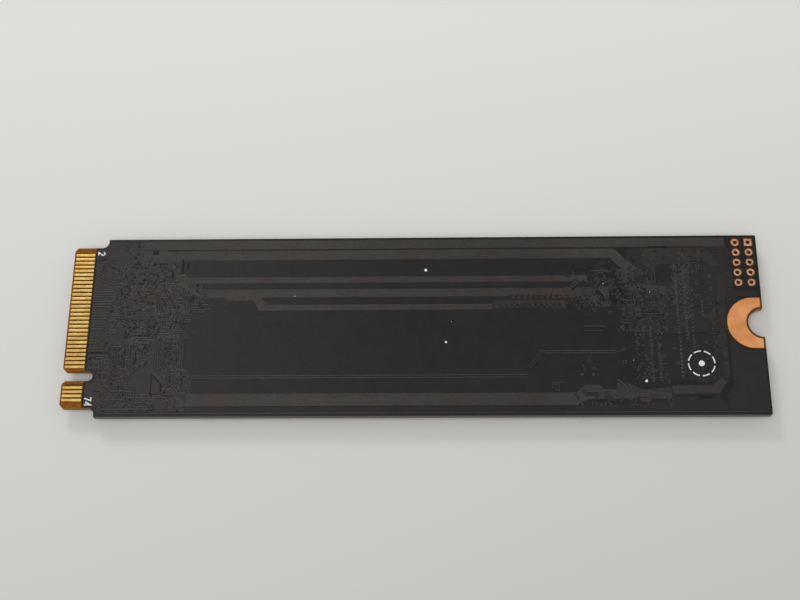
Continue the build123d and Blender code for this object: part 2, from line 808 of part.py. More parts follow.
# Small resistors: by the contacts, beside the boot memory and in line with the header's rows
resistor_length = resistor[0]
supply_middle_x = (bead_x + bead[1] / 2 + power_chip_x - power_chip_side / 2) / 2
boot_resistor_x = (crystal_capacitor_x + small_width / 2 + boot_x - boot_width / 2 - boot_leg_reach) / 2
header_resistor_x = header_x - (header_column_pitch + header_pad_diameter + resistor_length) / 2 - part_gap
resistor_places = grid((supply_middle_x, power_chip_y), 0, (0, tight_pitch), (1, 5))
resistor_places += grid((coupling_x + small_length + part_gap, -chip_pitch), 0, (0, tight_pitch), (1, 6))
resistor_places += grid((boot_resistor_x, boot_place[1]), 0, (0, tight_pitch), (1, 4))
resistor_places += grid((header_resistor_x, header_y), 0, (0, header_row_pitch), (1, header_rows))
save_chips(resistor, resistor_places, "small_resistors")
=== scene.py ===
import json
import math
import bpy
import numpy as np
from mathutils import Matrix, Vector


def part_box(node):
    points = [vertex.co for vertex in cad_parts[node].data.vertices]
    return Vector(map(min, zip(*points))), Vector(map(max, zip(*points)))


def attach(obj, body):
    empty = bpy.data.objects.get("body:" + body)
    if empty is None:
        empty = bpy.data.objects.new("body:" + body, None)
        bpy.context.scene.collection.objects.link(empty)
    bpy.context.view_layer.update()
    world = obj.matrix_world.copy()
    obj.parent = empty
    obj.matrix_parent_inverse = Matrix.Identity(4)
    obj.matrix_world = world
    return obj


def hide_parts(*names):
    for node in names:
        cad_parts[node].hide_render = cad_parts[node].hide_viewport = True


# Looks of a gumstick solid state drive: a black card with gold contacts, lying on its chips.
# Sizes here are millimetres; along the card they count from the contact edge, across it from the middle.
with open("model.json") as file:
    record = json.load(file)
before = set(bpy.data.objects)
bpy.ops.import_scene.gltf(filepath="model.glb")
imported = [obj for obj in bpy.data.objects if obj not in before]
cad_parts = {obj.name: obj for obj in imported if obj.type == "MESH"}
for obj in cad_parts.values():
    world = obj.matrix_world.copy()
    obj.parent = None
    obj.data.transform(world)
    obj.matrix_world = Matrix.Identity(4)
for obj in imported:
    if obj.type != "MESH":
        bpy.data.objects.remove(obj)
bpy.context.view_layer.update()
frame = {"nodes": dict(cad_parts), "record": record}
nodes = frame["nodes"]
mm = 0.001
draw = np.random.default_rng(22)
print("frame loaded:", len(nodes), "nodes")


# Lowest and highest corners of a CAD node, in millimetres
def nodeBox(name):
    low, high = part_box(name)
    return np.array(low) / mm, np.array(high) / mm


cardLow, cardHigh = nodeBox("board_laminate")
edgeX = cardLow[0]  # contact edge
endX = cardHigh[0]  # screw end
plainFaceZ = cardHigh[2]
chipFaceZ = cardLow[2]
maskThick = chipFaceZ - nodeBox("solder_mask_component_side")[0][2]
plainMaskZ = plainFaceZ + maskThick
chipMaskZ = chipFaceZ - maskThick
middleZ = (plainFaceZ + chipFaceZ) / 2
fingerEdge = nodeBox("edge_contacts_even")[1][1]  # outer side of the first finger
keyY = -6.125  # middle of the key slot, across the card
ballFootZ = nodeBox("flash_solder_balls")[0][2]  # where the balls meet their package


# Geometry

# Puts several (vertices, faces) pairs into one, with each pair's face numbers moved up
def joined(parts):
    vertices, faces, count = [], [], 0
    for points, loops in parts:
        vertices.append(np.asarray(points, float))
        faces.extend([[corner + count for corner in loop] for loop in loops])
        count += len(points)
    return np.vstack(vertices), faces


# Makes the piece: a mesh in the row frame that rides on the card, with an optional value per vertex. Its
# finish is the one of its slot, unless another is named
def addPiece(name, parts, slot, replaced=(), smooth=0, shade=None, finish=None):
    vertices, faces = joined(parts)
    mesh = bpy.data.meshes.new(name)
    mesh.from_pydata((vertices * mm).tolist(), [], faces)
    if shade is not None:
        values = mesh.attributes.new("shade", "FLOAT", "POINT")
        values.data.foreach_set("value", np.asarray(shade, np.float32))
    mesh.update()
    piece = bpy.data.objects.new(name, mesh)
    bpy.context.scene.collection.objects.link(piece)
    mesh.materials.append(finishes[finish or slot])
    if smooth:
        mesh.shade_smooth()
        mesh.set_sharp_from_angle(angle=math.radians(smooth))
    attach(piece, "root")
    if replaced:
        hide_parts(*replaced)
    return piece


# Side direction at each point of a path: the mean of the two runs' normals, stretched so that
# a shift along it keeps its distance from both runs
def mitres(points, closed=False):
    ahead = np.roll(points, -1, 0) - points if closed else np.diff(points, axis=0)
    ahead = ahead / np.linalg.norm(ahead, axis=1, keepdims=True)
    normals = np.stack([-ahead[:, 1], ahead[:, 0]], 1)
    before = np.roll(normals, 1, 0) if closed else np.vstack([normals[:1], normals])
    after = normals if closed else np.vstack([normals, normals[-1:]])
    both = before + after
    return both / (both * after).sum(1, keepdims=True)


# Four-sided faces between the rows of a table of point numbers, where each row closes on itself
def bands(index):
    here, there = index[:-1], index[1:]
    quads = np.stack([here, there, np.roll(there, -1, 1), np.roll(here, -1, 1)], 2)
    return quads.reshape(-1, 4).tolist()


# Carries a closed profile along a flat path: vertex (i, k) = path i + side direction i * offset k,
# raised to height k; the profile runs clockwise as seen from behind
def carried(points, profile):
    points, profile = np.asarray(points, float), np.asarray(profile, float)
    flat = points[:, None] + mitres(points)[:, None] * profile[None, :, :1]
    heights = np.broadcast_to(profile[:, 1], flat.shape[:2])[..., None]
    vertices = np.concatenate([flat, heights], 2).reshape(-1, 3)
    index = np.arange(len(vertices)).reshape(len(points), len(profile))
    return vertices, bands(index) + [index[0].tolist(), index[-1][::-1].tolist()]


# A trace: a trapezoid of that width and height on the level low, its sides at 45 degrees or as given
def trace(points, width, low, height, slope=0.0):
    slope = slope or min(height, width / 3)
    half = width / 2
    profile = [(-half, low), (slope - half, low + height), (half - slope, low + height), (half, low)]
    return carried(points, profile)


# Paths side by side: the path shifted along its side directions by multiples of the pitch
def bundle(points, count=1, pitch=0.0):
    points = np.asarray(points, float)
    side = mitres(points)
    return [points + side * pitch * (n - (count - 1) / 2) for n in range(count)]


# A flat field with sloping sides: the outline on the level low, and the same outline drawn in on top
def field(outline, low, height):
    outline = np.asarray(outline, float)
    x, y = outline[:, 0], outline[:, 1]
    if np.sum(x * np.roll(y, -1) - y * np.roll(x, -1)) < 0:
        outline = outline[::-1]
    count = len(outline)
    top = outline + mitres(outline, True) * height
    vertices = np.vstack([
        np.column_stack([outline, np.full(count, low)]),
        np.column_stack([top, np.full(count, low + height)]),
    ])
    base = np.arange(count)
    after = np.roll(base, -1)
    sides = np.stack([base, after, after + count, base + count], 1).tolist()
    return vertices, sides + [base[::-1].tolist(), (base + count).tolist()]


# A turned shape: profile (radius, height) swept round the upright axis; profiles that start and end
# on the axis close with one point each, and ring profiles close on themselves
def turned(profile, sides, ring=False):
    profile = np.asarray(profile, float)
    angle = np.linspace(0, 2 * math.pi, sides, endpoint=False)
    inner = profile if ring else profile[1:-1]
    around = np.stack([
        inner[:, :1] * np.cos(angle),
        inner[:, :1] * np.sin(angle),
        np.broadcast_to(inner[:, 1:], (len(inner), sides)),
    ], 2)
    vertices = around.reshape(-1, 3)
    index = np.arange(len(vertices)).reshape(len(inner), sides)
    if ring:
        return vertices, bands(np.vstack([index, index[:1]]))
    ends = np.array([(0, 0, profile[0, 1]), (0, 0, profile[-1, 1])])
    first, last = len(vertices), len(vertices) + 1
    top, bottom = index[0], index[-1]
    faces = bands(index)
    faces += np.stack([np.full(sides, first), top, np.roll(top, -1)], 1).tolist()
    faces += np.stack([np.full(sides, last), np.roll(bottom, -1), bottom], 1).tolist()
    return np.vstack([vertices, ends]), faces


# Copies of one shape: each is scaled, turned about the upright axis and moved to its place
def copies(shape, places, turns=0, scales=1):
    vertices, faces = shape
    places = np.atleast_2d(np.asarray(places, float))
    turns = np.radians(np.broadcast_to(turns, len(places)))[:, None]
    scales = np.broadcast_to(scales, len(places))[:, None]
    x, y = vertices[None, :, 0] * scales, vertices[None, :, 1] * scales
    moved = np.stack([
        x * np.cos(turns) - y * np.sin(turns) + places[:, :1],
        x * np.sin(turns) + y * np.cos(turns) + places[:, 1:2],
        np.broadcast_to(vertices[None, :, 2], x.shape) + places[:, 2:3],
    ], 2).reshape(-1, 3)
    size = len(vertices)
    return moved, [[corner + n * size for corner in loop] for n in range(len(places)) for loop in faces]


# The same shape upside down: z becomes twice the level's z minus z, and the faces turn round
def overturned(shape, level=0.0):
    vertices, faces = shape
    return vertices * (1, 1, -1) + (0, 0, 2 * level), [loop[::-1] for loop in faces]


# An arc as points: centre, radius, first and last angle in degrees
def arcPoints(centre, radius, start, end, steps=12):
    angle = np.radians(np.linspace(start, end, steps))
    return np.column_stack([centre[0] + radius * np.cos(angle), centre[1] + radius * np.sin(angle)])


# Lowest and highest corners of the separate solids in a CAD node: the corners of one triangle belong
# together, and so do all that touch it
def solidBoxes(name):
    mesh = nodes[name].data
    places = np.zeros(len(mesh.vertices) * 3)
    mesh.vertices.foreach_get("co", places)
    places = np.round(places.reshape(-1, 3) / mm, 4)
    corners = np.zeros(len(mesh.loops), int)
    mesh.loops.foreach_get("vertex_index", corners)
    spots, spot = np.unique(places, axis=0, return_inverse=True)
    triangles = spot.ravel()[corners].reshape(-1, 3)
    label = np.arange(len(spots))
    while True:
        least = label[triangles].min(1)
        new = label.copy()
        np.minimum.at(new, triangles, least[:, None])
        if (new == label).all():
            break
        label = new
    names, group = np.unique(label, return_inverse=True)
    low = np.full((len(names), 3), np.inf)
    high = -low
    np.minimum.at(low, group.ravel(), spots)
    np.maximum.at(high, group.ravel(), spots)
    return low, high


# Turns distances from the contact edge into places in the row frame
def onCard(points):
    return np.asarray(points, float) + (edgeX, 0)


# Materials

# sRGB hex to a linear colour
def colour(code):
    value = np.array([int(code[n:n + 2], 16) for n in (1, 3, 5)]) / 255
    linear = np.where(value <= 0.04045, value / 12.92, ((value + 0.055) / 1.055) ** 2.4)
    return (*linear.tolist(), 1)


# Adds one node and gives back one of its outputs: sockets holds a value or a link for each input, in
# order or by name or number, and settings are the node's own properties. Mix takes its share at 0 and
# its colours at 6 and 7, and gives the colour at 2
def addNode(tree, kind, sockets=(), output=0, **settings):
    made = tree.nodes.new("ShaderNode" + kind)
    for key, value in settings.items():
        setattr(made, key, value)
    for socket, value in sockets.items() if isinstance(sockets, dict) else enumerate(sockets):
        if isinstance(value, bpy.types.NodeSocket):
            tree.links.new(value, made.inputs[socket])
        else:
            made.inputs[socket].default_value = value
    return made.outputs[output] if made.outputs else made


def newMaterial(name):
    material = bpy.data.materials.new(name)
    material.use_nodes = True
    tree = material.node_tree
    tree.nodes.clear()
    return material, tree


# The place along, across or above the card, in metres
def placeAlong(tree, axis):
    return addNode(tree, "SeparateXYZ", [addNode(tree, "TexCoord", output="Object")], axis)


# A value that changes along the card, straight between stops: each stop is a place from the contact
# edge and a value
def alongCard(tree, stops):
    place = placeAlong(tree, "X")
    value = stops[0][1]
    for (start, before), (end, after) in zip(stops, stops[1:]):
        step = [place, (edgeX + start) * mm, (edgeX + end) * mm, 0.0, after - before]
        value = addNode(tree, "Math", [value, addNode(tree, "MapRange", step)], operation="ADD")
    return value


# How far a point stands from a place along, across or above the card, in metres
def offPlace(tree, axis, place):
    apart = addNode(tree, "Math", [placeAlong(tree, axis), place * mm], operation="SUBTRACT")
    return addNode(tree, "Math", [apart], operation="ABSOLUTE")


# Clouds whose grains are about grain millimetres apart, spread from one value to another
def clouds(tree, grain, low=0.0, high=1.0, detail=2.0, stretch=(1, 1, 1), contrast=0.15):
    place = addNode(tree, "TexCoord", output="Object")
    mapped = addNode(tree, "Mapping", {"Vector": place, "Scale": stretch})
    noise = addNode(tree, "TexNoise", {"Vector": mapped, "Scale": 1 / (grain * mm), "Detail": detail})
    return addNode(tree, "MapRange", [noise, 0.5 - contrast, 0.5 + contrast, low, high])


# Ends a material: its shader, with bump from a height value worth depth millimetres
def finished(tree, baseColour, roughness, height=None, depth=0.01, **fixed):
    sockets = {"Base Color": baseColour, "Roughness": roughness}
    if height is not None:
        sockets["Normal"] = addNode(tree, "Bump", {"Height": height, "Distance": depth * mm, "Strength": 1.0})
    for name, value in fixed.items():
        sockets[name.replace("_", " ")] = value
    shader = addNode(tree, "BsdfPrincipled", sockets)
    addNode(tree, "OutputMaterial", {"Surface": shader})


# Liquid photoimageable solder mask, cured and satin: nearly black over bare laminate and a warm dark
# grey where copper shines through it, so its colour follows how far it stands off the card's middle
maskLook = {
    # Over bare laminate the mask grows lighter towards the contacts: painted sheen
    "darkest": "#050505", "overLaminate": "#151413", "sheenNearContacts": "#22201f",
    "overCopper": "#373330", "warm": "#38302d", "cool": "#333531",
    "copperAlong": ((10, 0.97), (20, 1.07), (28, 1.07), (36, 0.92), (54, 0.80), (60, 1.0)),
    "reliefLow": 0.004, "reliefHigh": 0.022, "sheenFrom": -2, "sheenTo": -24,
    "cloud": 5.0, "coolCloud": 3.2, "coolShare": 0.7, "speckle": 0.22, "speckleTone": (0.82, 1.18),
    "peel": 0.35, "peelDepth": 0.0012, "sheenCloud": 1.5, "roughness": (0.40, 0.52), "specular": 0.28,
}


def solderMask():
    look = maskLook
    material, tree = newMaterial("black_solder_mask")
    level = plainMaskZ - middleZ
    low, high = (level + look["reliefLow"]) * mm, (level + look["reliefHigh"]) * mm
    raised = addNode(tree, "MapRange", [offPlace(tree, "Z", middleZ), low, high, 0.0, 1.0])
    shade = addNode(tree, "Attribute", output="Fac", attribute_name="shade")
    lit = addNode(tree, "Math", [1.0, shade], operation="SUBTRACT")
    copper = addNode(tree, "Math", [raised, lit], operation="MULTIPLY")
    tone = {0: clouds(tree, look["cloud"], detail=3), 6: colour(look["overCopper"]), 7: colour(look["warm"])}
    warm = addNode(tree, "Mix", tone, 2, data_type="RGBA")
    tone = {0: clouds(tree, look["coolCloud"], 0.0, look["coolShare"], 3), 6: warm, 7: colour(look["cool"])}
    light = addNode(tree, "Mix", tone, 2, data_type="RGBA")
    along = alongCard(tree, look["copperAlong"])
    light = addNode(tree, "VectorMath", {0: light, "Scale": along}, operation="SCALE")
    # Painted sheen: over bare laminate the tone grows lighter from one place along the card towards the
    # contacts
    pale = [placeAlong(tree, "X"), look["sheenFrom"] * mm, look["sheenTo"] * mm, 0.0, 1.0]
    pale = addNode(tree, "MapRange", pale)
    tone = {0: pale, 6: colour(look["overLaminate"]), 7: colour(look["sheenNearContacts"])}
    dark = addNode(tree, "Mix", tone, 2, data_type="RGBA")
    base = addNode(tree, "Mix", {0: copper, 6: dark, 7: light}, 2, data_type="RGBA", clamp_factor=False)
    tone = {0: 1.0, 6: base, 7: colour(look["darkest"])}
    base = addNode(tree, "Mix", tone, 2, data_type="RGBA", blend_type="LIGHTEN")
    speckle = clouds(tree, look["speckle"], *look["speckleTone"], 3, contrast=0.2)
    base = addNode(tree, "VectorMath", {0: base, "Scale": speckle}, operation="SCALE")
    peel = clouds(tree, look["peel"], contrast=0.5)
    roughness = clouds(tree, look["sheenCloud"], *look["roughness"], contrast=0.2)
    finished(tree, base, roughness, peel, look["peelDepth"], Specular_IOR_Level=look["specular"])
    return material


# Hard gold over nickel, electroplated: bright and warm along the middle of each finger, deep olive
# where it rounds over at the sides and at the inner end, which is painted shade, with fine rubbed lines along
# the card
goldLook = {
    # The side tone is painted shade at the sides and the inner end of each finger
    "bright": "#ffdb8a", "deep": "#f0bb5a", "side": "#6a4a14",
    "roughness": (0.26, 0.40), "lines": 0.12, "stretch": 0.08, "lineDepth": 0.002, "cloud": 0.9,
}


def hardGold():
    look = goldLook
    material, tree = newMaterial("gold_plating")
    lines = clouds(tree, look["lines"], detail=3, stretch=(look["stretch"], 1, 1), contrast=0.2)
    tone = {0: clouds(tree, look["cloud"], contrast=0.2), 6: colour(look["deep"]), 7: colour(look["bright"])}
    face = addNode(tree, "Mix", tone, 2, data_type="RGBA")
    # Painted shade: each point's shade darkens it towards the side tone
    side = addNode(tree, "Attribute", output="Fac", attribute_name="shade")
    base = addNode(tree, "Mix", {0: side, 6: face, 7: colour(look["side"])}, 2, data_type="RGBA")
    roughness = addNode(tree, "MapRange", [lines, 0.0, 1.0, *look["roughness"]])
    finished(tree, base, roughness, lines, look["lineDepth"], Metallic=1.0)
    return material


# Etched copper under a thin clear protective finish: pinkish orange, satin, with faint cloudy toning
copperLook = {
    "fresh": "#f3ae76", "toned": "#e2995f", "roughness": (0.46, 0.58), "cloud": 1.6,
    "grain": 0.12, "grainDepth": 0.0015,
}


def etchedCopper():
    look = copperLook
    material, tree = newMaterial("bare_copper")
    tone = {0: clouds(tree, look["cloud"], detail=4), 6: colour(look["toned"]), 7: colour(look["fresh"])}
    base = addNode(tree, "Mix", tone, 2, data_type="RGBA")
    grain = clouds(tree, look["grain"], detail=3, contrast=0.2)
    roughness = addNode(tree, "MapRange", [grain, 0.0, 1.0, *look["roughness"]])
    finished(tree, base, roughness, grain, look["grainDepth"], Metallic=1.0)
    return material


# Copper plated through the holes: paler and pinker than the pad, with painted shade inside the bores, which
# turn dark brown and lose their metal deeper down
platedLook = {
    "land": "#e8bda2", "toned": "#ca9775", "bore": "#6e3012",
    "roughness": (0.34, 0.46), "cloud": 0.5, "cloudDepth": 0.002, "grain": 0.1,
    # The dark bore tone is painted shade; it starts and is full at these distances off the card's middle
    "boreShadeTop": 0.36, "boreShadeDeep": 0.24,  # how far off the card's middle the dark starts and is full
}


def platedCopper():
    look = platedLook
    material, tree = newMaterial("plated_copper")
    cloud = clouds(tree, look["cloud"], detail=3)
    tone = {0: cloud, 6: colour(look["toned"]), 7: colour(look["land"])}
    land = addNode(tree, "Mix", tone, 2, data_type="RGBA")
    # Painted shade: deeper in the bore the copper gives way to the dark bore tone and loses its metal
    depth = [offPlace(tree, "Z", middleZ), look["boreShadeDeep"] * mm, look["boreShadeTop"] * mm, 0.0, 1.0]
    outsideBoreShade = addNode(tree, "MapRange", depth)
    base = addNode(tree, "Mix", {0: outsideBoreShade, 6: colour(look["bore"]), 7: land}, 2, data_type="RGBA")
    roughness = clouds(tree, look["grain"], *look["roughness"], contrast=0.2)
    finished(tree, base, roughness, cloud, look["cloudDepth"], Metallic=outsideBoreShade)
    return material


# Glass cloth in epoxy, pressed and routed: amber brown on its faces, with painted shade between the fingers,
# and on the cut edges grey with thin lines where the layers of cloth and the copper planes end
laminateLook = {
    # The tone between the fingers is painted shade, the shadow of the fingers on the laminate
    "face": "#8a520f", "faceDeep": "#6a3c07", "paintedShadeBetweenFingers": "#4f330a", "notchWall": "#a8642c",
    "tongueWall": "#90602e", "tongueFrom": 4.1, "tongueTo": 3.6, "notchReach": 2.0, "notchFade": 0.1,
    "rowFade": 0.12, "leadFrom": 0.3, "leadTo": 0.55, "keySide": 0.88, "keyFade": 0.1,
    "edge": "#7a7268", "edgeDark": "#4f4a42", "edgeRange": (-0.4, 1.8), "faceUp": (0.3, 0.6),
    "plane": "#765c44", "planeShare": 0.5, "planeRange": (0.93, 0.99), "layers": 7, "weave": 0.5,
    "fibre": 0.25, "fibreShare": 1.5, "fibreRange": (0.3, 0.7), "fibreDepth": 0.01,
    "roughness": (0.45, 0.65), "specular": 0.12,
}


def fibreglass():
    look = laminateLook
    material, tree = newMaterial("fibreglass_laminate")
    normal = addNode(tree, "NewGeometry", output="Normal")
    upward = addNode(tree, "Math", [addNode(tree, "SeparateXYZ", [normal], "Z")], operation="ABSOLUTE")
    isFace = addNode(tree, "MapRange", [upward, *look["faceUp"], 0.0, 1.0])
    weave = clouds(tree, look["weave"], detail=3, contrast=0.2)
    tone = {0: weave, 6: colour(look["faceDeep"]), 7: colour(look["face"])}
    face = addNode(tree, "Mix", tone, 2, data_type="RGBA")
    # Painted shade between the fingers: inside the row, past the bare lead-in and off the key slot
    fingerGapShade = 1.0
    for place, start, end in (
        (offPlace(tree, "Y", 0), fingerEdge + look["rowFade"], fingerEdge),
        (placeAlong(tree, "X"), edgeX + look["leadFrom"], edgeX + look["leadTo"]),
        (offPlace(tree, "Y", keyY), look["keySide"], look["keySide"] + look["keyFade"]),
    ):
        fade = addNode(tree, "MapRange", [place, start * mm, end * mm, 0.0, 1.0])
        fingerGapShade = addNode(tree, "Math", [fingerGapShade, fade], operation="MULTIPLY")
    face = addNode(tree, "Mix", {0: fingerGapShade, 6: face, 7: colour(look["paintedShadeBetweenFingers"])}, 2, data_type="RGBA")
    # The cut edges: layers as a sine of the height, roughened by fibres, and copper planes at its crests
    turns = 2 * math.pi * look["layers"] / ((plainFaceZ - chipFaceZ) * mm)
    wave = addNode(tree, "Math", [placeAlong(tree, "Z"), turns], operation="MULTIPLY")
    wave = addNode(tree, "Math", [wave], operation="SINE")
    fibre = clouds(tree, look["fibre"], detail=3, stretch=(1, 1, 4), contrast=0.5)
    layered = addNode(tree, "Math", [fibre, look["fibreShare"], wave], operation="MULTIPLY_ADD")
    layered = addNode(tree, "MapRange", [layered, *look["edgeRange"], 0.0, 1.0])
    tone = {0: layered, 6: colour(look["edgeDark"]), 7: colour(look["edge"])}
    cut = addNode(tree, "Mix", tone, 2, data_type="RGBA")
    crest = addNode(tree, "MapRange", [wave, *look["planeRange"], 0.0, look["planeShare"]])
    cut = addNode(tree, "Mix", {0: crest, 6: cut, 7: colour(look["plane"])}, 2, data_type="RGBA")
    # The routed walls of the notch and of the tongue, which are browner
    place = addNode(tree, "TexCoord", output="Object")
    flat = addNode(tree, "VectorMath", [place, (1, 1, 0)], operation="MULTIPLY")
    reach = addNode(tree, "VectorMath", [flat, (endX * mm, 0, 0)], "Value", operation="DISTANCE")
    for place, start, end, wall in (
        (reach, look["notchReach"], look["notchReach"] - look["notchFade"], "notchWall"),
        (placeAlong(tree, "X"), edgeX + look["tongueFrom"], edgeX + look["tongueTo"], "tongueWall"),
    ):
        share = addNode(tree, "MapRange", [place, start * mm, end * mm, 0.0, 1.0])
        cut = addNode(tree, "Mix", {0: share, 6: cut, 7: colour(look[wall])}, 2, data_type="RGBA")
    base = addNode(tree, "Mix", {0: isFace, 6: cut, 7: face}, 2, data_type="RGBA")
    roughness = addNode(tree, "MapRange", [fibre, *look["fibreRange"], *look["roughness"]])
    finished(tree, base, roughness, fibre, look["fibreDepth"], Specular_IOR_Level=look["specular"])
    return material


# Epoxy filled with silica, transfer moulded: charcoal black, matt, with a fine even grain. A package on
# balls stands on a thin glass cloth substrate, which shows as a dark green line round its foot
epoxyLook = {
    "tone": "#262627", "pale": "#303031", "speck": "#4a4a4b", "speckFrom": 0.74, "speckShare": 0.35,
    "substrate": "#20301f", "substrateTall": 0.3, "substrateFade": 0.01,
    "roughness": (0.55, 0.68), "grain": 0.08, "grainRange": (0.2, 0.8), "grainDepth": 0.006, "cloud": 3.0,
}


def mouldedEpoxy(name, onSubstrate):
    look = epoxyLook
    material, tree = newMaterial(name)
    grain = clouds(tree, look["grain"], detail=4, contrast=0.25)
    tone = {0: clouds(tree, look["cloud"], contrast=0.2), 6: colour(look["tone"]), 7: colour(look["pale"])}
    body = addNode(tree, "Mix", tone, 2, data_type="RGBA")
    speck = addNode(tree, "MapRange", [grain, look["speckFrom"], 1.0, 0.0, look["speckShare"]])
    base = addNode(tree, "Mix", {0: speck, 6: body, 7: colour(look["speck"])}, 2, data_type="RGBA")
    if onSubstrate:
        top, fade = ballFootZ - look["substrateTall"], look["substrateFade"]
        foot = [placeAlong(tree, "Z"), (top - fade) * mm, (top + fade) * mm, 0.0, 1.0]
        tone = {0: addNode(tree, "MapRange", foot), 6: base, 7: colour(look["substrate"])}
        base = addNode(tree, "Mix", tone, 2, data_type="RGBA")
    roughness = addNode(tree, "MapRange", [grain, *look["grainRange"], *look["roughness"]])
    finished(tree, base, roughness, grain, look["grainDepth"])
    return material


# Finishes of the small fired and plated parts, each named for what the real one is made of: two tones,
# grain in millimetres, roughness from and to, depth of the grain, metal or not. Their tones change in
# clouds of one size
smallCloud = 1.2
smallFinishes = {
    # reflowed tin and silver alloy: bright, slightly frosted by its grain
    "solder": (("#c9c9c6", "#b4b4b2"), 0.05, (0.22, 0.38), 0.002, 1.0),
    # matt tin over copper: pale grey, soft sheen
    "tinned_copper": (("#cfccc6", "#b9b6b0"), 0.04, (0.35, 0.5), 0.002, 1.0),
    # iron powder pressed in resin: dark grey, sandy
    "pressed_iron_powder": (("#4b4b4d", "#3c3c3e"), 0.06, (0.6, 0.75), 0.008, 0.0),
    # alumina ceramic, dark fired: dull brown black
    "fired_ceramic": (("#3a332e", "#2c2723"), 0.08, (0.5, 0.62), 0.004, 0.0),
    # nickel plated iron alloy lid, rolled: pale, lengthwise sheen
    "nickel_plated_steel": (("#c6c2b8", "#aeaaa1"), 0.03, (0.25, 0.38), 0.002, 1.0),
    # glass glaze over ceramic: pale green, glossy
    "fuse_glaze": (("#b4c2ae", "#9fb09a"), 0.3, (0.15, 0.25), 0.002, 0.0),
    # sintered ferrite: near black with a graphite sheen
    "ferrite": (("#39393b", "#2d2d2f"), 0.07, (0.42, 0.55), 0.004, 0.0),
    # barium titanate ceramic: tan brown, smooth and slightly glossy
    "capacitor_ceramic": (("#9a7350", "#85603f"), 0.09, (0.3, 0.42), 0.003, 0.0),
    # black glass glaze on the resistor's face
    "resistor_glaze": (("#1c1c1e", "#262628"), 0.2, (0.18, 0.3), 0.002, 0.0),
    # white epoxy ink, screen printed: chalky, a little uneven
    "marking_ink": (("#e6e8e4", "#cfd2cd"), 0.06, (0.6, 0.7), 0.004, 0.0),
}


def smallFinish(name):
    tones, grain, roughness, depth, metallic = smallFinishes[name]
    material, tree = newMaterial(name)
    fine = clouds(tree, grain, detail=3, contrast=0.2)
    tone = {0: clouds(tree, smallCloud, contrast=0.2), 6: colour(tones[0]), 7: colour(tones[1])}
    base = addNode(tree, "Mix", tone, 2, data_type="RGBA")
    roughness = addNode(tree, "MapRange", [fine, 0.0, 1.0, *roughness])
    finished(tree, base, roughness, fine, depth, Metallic=metallic)
    return material


finishes = {name: smallFinish(name) for name in smallFinishes}
finishes["black_solder_mask"] = solderMask()
finishes["gold_plating"] = hardGold()
finishes["bare_copper"] = etchedCopper()
finishes["plated_copper"] = platedCopper()
finishes["fibreglass_laminate"] = fibreglass()
finishes["moulded_epoxy"] = mouldedEpoxy("moulded_epoxy", False)
epoxyOnSubstrate = mouldedEpoxy("moulded_epoxy_on_substrate", True)

# Each CAD node takes the finish of its slot in the record
for part in frame["record"]["subparts"]:
    mesh = nodes[part["node"]].data
    onBalls = part["node"] in ("flash_chips", "controller_chip", "buffer_memory_chip")
    mesh.materials.clear()
    mesh.materials.append(epoxyOnSubstrate if onBalls else finishes[part["material_slot"]])
print("materials made:", len(bpy.data.materials))


# Edge contacts

# Each finger is a crowned bar. Across it, with v from -1 to 1, the height is thick - crown * |v|^3, and
# its painted shade is |v|^6, with more painted shade at the inner end. Its half width shrinks as a quarter
# circle at the inner end and as a straight cut at the lead-in end, and both ends are lower
contacts = {
    "leadCut": 0.1, "leadNarrow": 0.8, "innerRound": 0.1, "innerNarrow": 0.999,
    "thick": 0.04, "crown": 0.012, "crownPower": 3, "endSlope": 0.04, "endTall": 0.55,
    # The side and end values set the painted shade of each finger
    "across": 13, "rim": 0.97, "along": 10, "sideShade": 1.0, "sideShadePower": 6, "endShade": 0.8,
}


def contactFingers(name, up):
    look = contacts
    low, high = solidBoxes(name)
    length = high[0, 0] - low[0, 0]
    half = (high[0, 1] - low[0, 1]) / 2
    cut = np.array([0, 0.5, 1])
    arc = np.linspace(0, math.pi / 2, look["along"])
    along = np.concatenate([
        look["leadCut"] * cut,
        length - look["innerRound"] + look["innerRound"] * np.sin(arc),
    ])
    halves = np.concatenate([
        half - look["leadCut"] * (1 - cut) * look["leadNarrow"],
        half - look["innerRound"] * (1 - np.cos(arc)) * look["innerNarrow"],
    ])
    v = np.linspace(-1, 1, look["across"])
    crown = look["thick"] - look["crown"] * np.abs(v) ** look["crownPower"]
    crown[[0, -1]] = 0
    v[1], v[-2] = -look["rim"], look["rim"]
    count, wide = len(along), len(v)
    x = np.repeat(along[:, None], wide, 1)
    y = halves[:, None] * v[None]
    ends = np.clip(np.minimum(along, length - along) / look["endSlope"], 0, 1)[:, None]
    z = crown[None] * (look["endTall"] + (1 - look["endTall"]) * ends)
    top = np.stack([x, y, z], 2).reshape(-1, 3)
    index = np.arange(count * wide).reshape(count, wide)
    quads = np.stack([index[:-1, :-1], index[1:, :-1], index[1:, 1:], index[:-1, 1:]], 2).reshape(-1, 4)
    under = np.stack([index[:-1, 0], index[:-1, -1], index[1:, -1], index[1:, 0]], 1)
    shape = top, quads.tolist() + under.tolist() + [index[0].tolist(), index[-1][::-1].tolist()]
    # Painted shade, dark at the sides and towards the inner end
    sideShades = look["sideShade"] * np.abs(v[None]) ** look["sideShadePower"]
    tones = np.maximum(sideShades, look["endShade"] * (1 - ends) * (x > length / 2))
    if up < 0:
        shape = overturned(shape)
    face = plainFaceZ if up > 0 else chipFaceZ
    places = np.column_stack([low[:, 0], (low[:, 1] + high[:, 1]) / 2, np.full(len(low), face)])
    return copies(shape, places), np.tile(tones.ravel(), len(places))


